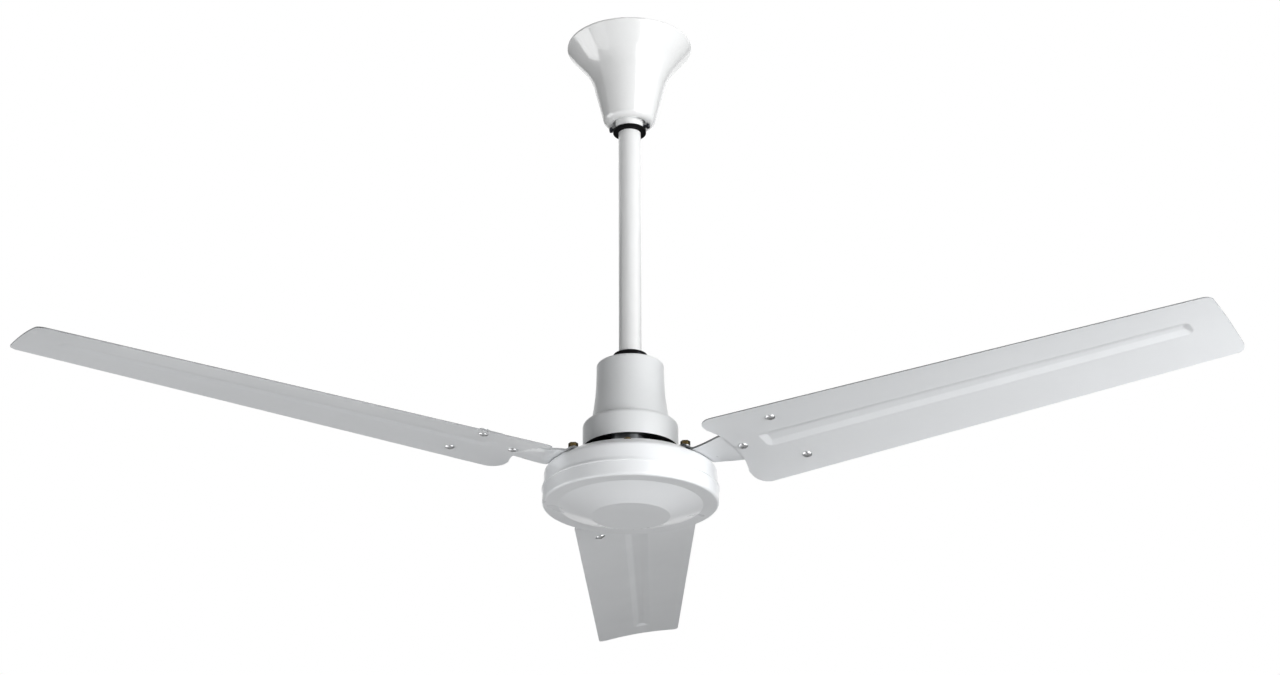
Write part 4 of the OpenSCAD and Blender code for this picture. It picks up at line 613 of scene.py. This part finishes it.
# Pieces inside, or too small to need more than their finish
for node, mat in {
        "hanger_split_pin": zinc_plate, "strap_split_pin": zinc_plate, "motor_coupling": turned_steel,
        "coupling_bolt": zinc_plate, "coupling_nut": zinc_plate, "coupling_split_pin": zinc_plate,
        "coupling_set_screws": black_steel, "motor_shaft": turned_steel, "stator_core": iron_stack,
        "stator_windings": copper_wire, "upper_bearing_inner_race": turned_steel,
        "lower_bearing_inner_race": turned_steel, "shaft_circlip": black_steel, "capacitor": black_nylon,
        "capacitor_clamp": zinc_plate, "lead_sleeve": black_nylon, "rotor_core": iron_stack,
        "rotor_cage": cast_aluminium, "upper_bearing_outer_race": turned_steel,
        "lower_bearing_outer_race": turned_steel, "casing_nuts": zinc_plate, "arm_nuts": zinc_plate,
        "upper_ball_cage": cage_brass, "lower_ball_cage": cage_brass, "upper_bearing_balls": nickel_plate,
        "lower_bearing_balls": nickel_plate}.items():
    nodes[node].data.materials.clear()
    nodes[node].data.materials.append(mat)


# Camera, lamps and surroundings, in metres and degrees

def frame_of(side, top, back):
    """Matrix that turns an object's X, Y and Z axes to three directions."""
    return Matrix(np.stack([side, top, back], -1).tolist()).to_4x4()


def aim(pitch, yaw, roll):
    """Camera turn from its pitch upward, its yaw from +Y and its roll, in degrees."""
    p, y, r = np.radians([pitch, yaw, roll])
    right = np.array([np.cos(y), np.sin(y), 0])
    ahead = np.array([-np.sin(y) * np.cos(p), np.cos(y) * np.cos(p), np.sin(p)])
    up = np.cross(right, ahead)
    return frame_of(np.cos(r) * right + np.sin(r) * up, np.cos(r) * up - np.sin(r) * right, -ahead)


# Camera at the photograph's place: 2.74 m in front of the axis and 1.03 m under the blades
CAMERA_PLACE = (0, -2.74, -1.595)
CAMERA_AIM = (23.63, -0.24, -0.27)
lens = bpy.data.cameras.new("photo_camera")
lens.sensor_width = 36
lens.lens = 71.8
camera = bpy.data.objects.new("photo_camera", lens)
camera.matrix_world = Matrix.Translation(CAMERA_PLACE) @ aim(*CAMERA_AIM)
bpy.context.scene.collection.objects.link(camera)
bpy.context.scene.camera = camera


def soft_box(name, place, target, size, watts):
    """A square area lamp at a place, turned to a target."""
    lamp = bpy.data.lights.new(name, "AREA")
    lamp.shape = "SQUARE"
    lamp.size = size
    lamp.energy = watts
    obj = bpy.data.objects.new(name, lamp)
    back = np.array(place, float) - np.array(target, float)
    back /= np.linalg.norm(back)
    right = np.cross([0, 0, 1], back)
    right /= np.linalg.norm(right)
    obj.matrix_world = Matrix.Translation(place) @ frame_of(right, np.cross(back, right), back)
    bpy.context.scene.collection.objects.link(obj)


# Light: a large soft box on the right in front, weaker ones on the left and low on the left
CENTRE = (0, 0, -0.4)
soft_box("key_right", (1.43, -1.33, -0.82), CENTRE, 2.0, 67)
soft_box("side_left", (-2.78, 0.49, -1.43), CENTRE, 1.6, 35)
soft_box("low_left", (-2.16, -0.79, -2.33), CENTRE, 1.6, 15)


def seen_by(tree, strengths):
    """The strength given for the kind of ray that looks, and nothing for any other kind."""
    path = add(tree, "ShaderNodeLightPath")
    level = 0.0
    for ray, strength in strengths.items():
        part = add(tree, "ShaderNodeMath", {"operation": "MULTIPLY"}, i0=path.outputs[ray], i1=strength)
        most = add(tree, "ShaderNodeMath", {"operation": "MAXIMUM"}, i0=level, i1=part.outputs[0])
        level = most.outputs[0]
    return level


def glowing(mat, strengths):
    """Adds a glow to a staging material for each named kind of ray only, where a strength of 1 is white."""
    tree = mat.node_tree
    glow = add(tree, "ShaderNodeEmission", Color=(1, 1, 1, 1), Strength=seen_by(tree, strengths))
    both = add(tree, "ShaderNodeAddShader", i0=tree.nodes["Principled BSDF"].outputs[0], i1=glow.outputs[0])
    tree.links.new(both.outputs[0], tree.nodes["Material Output"].inputs["Surface"])


# World: white where the camera or a gloss sees it, and a dim grey as light
world = bpy.data.worlds.new("studio")
bpy.context.scene.world = world
world.use_nodes = True
tree = world.node_tree
tree.nodes.clear()
seen = seen_by(tree, {"Is Camera Ray": 1.0, "Is Transmission Ray": 1.0, "Is Glossy Ray": 1.0})
dim = add(tree, "ShaderNodeBackground", Color=linear("#f4f6f8"), Strength=0.03)
white = add(tree, "ShaderNodeBackground", Color=(1, 1, 1, 1), Strength=1.0)
blend = add(tree, "ShaderNodeMixShader", i0=seen, i1=dim.outputs[0], i2=white.outputs[0])
add(tree, "ShaderNodeOutputWorld", Surface=blend.outputs[0])

# Pale floor, a room's height below the ceiling, seen nearly white, and in gloss a little brighter than lit
FLOOR_SIZE, FLOOR_Z = 40, -3.4
bpy.ops.mesh.primitive_plane_add(size=FLOOR_SIZE, location=(0, 0, FLOOR_Z))
floor = bpy.context.object
floor.name = "floor"
floor_paint = finish("floor_paint", "#f0f0f0", 0.7, tint="#ececec", tint_mm=400)
glowing(floor_paint, {"Is Camera Ray": 0.8, "Is Transmission Ray": 0.8, "Is Glossy Ray": 0.1})
floor.data.materials.append(floor_paint)

# Dark cards behind on both sides, which keep the white out of the gloss there. A camera sees them white,
# so they hide the fan from views behind them on either side, and such a view needs them taken away.
CARD_H = 4.4
card_paint = finish("card_paint", "#404244", 0.8, tint="#3a3c3e", tint_mm=200)
glowing(card_paint, {"Is Camera Ray": 1.0})
for side, place, width, turn in (
        ("left", (-2.75, 2.5, -0.8), 5.2, 75.4), ("right", (2.55, 2.0, -0.8), 3.1, 107.1)):
    bpy.ops.mesh.primitive_plane_add(size=1, location=place)
    card = bpy.context.object
    card.name = "dark_card_" + side
    card.scale = (width, CARD_H, 1)
    card.rotation_euler = (math.radians(90), 0, math.radians(turn))
    card.data.materials.append(card_paint)

bpy.context.scene.view_settings.view_transform = "Standard"
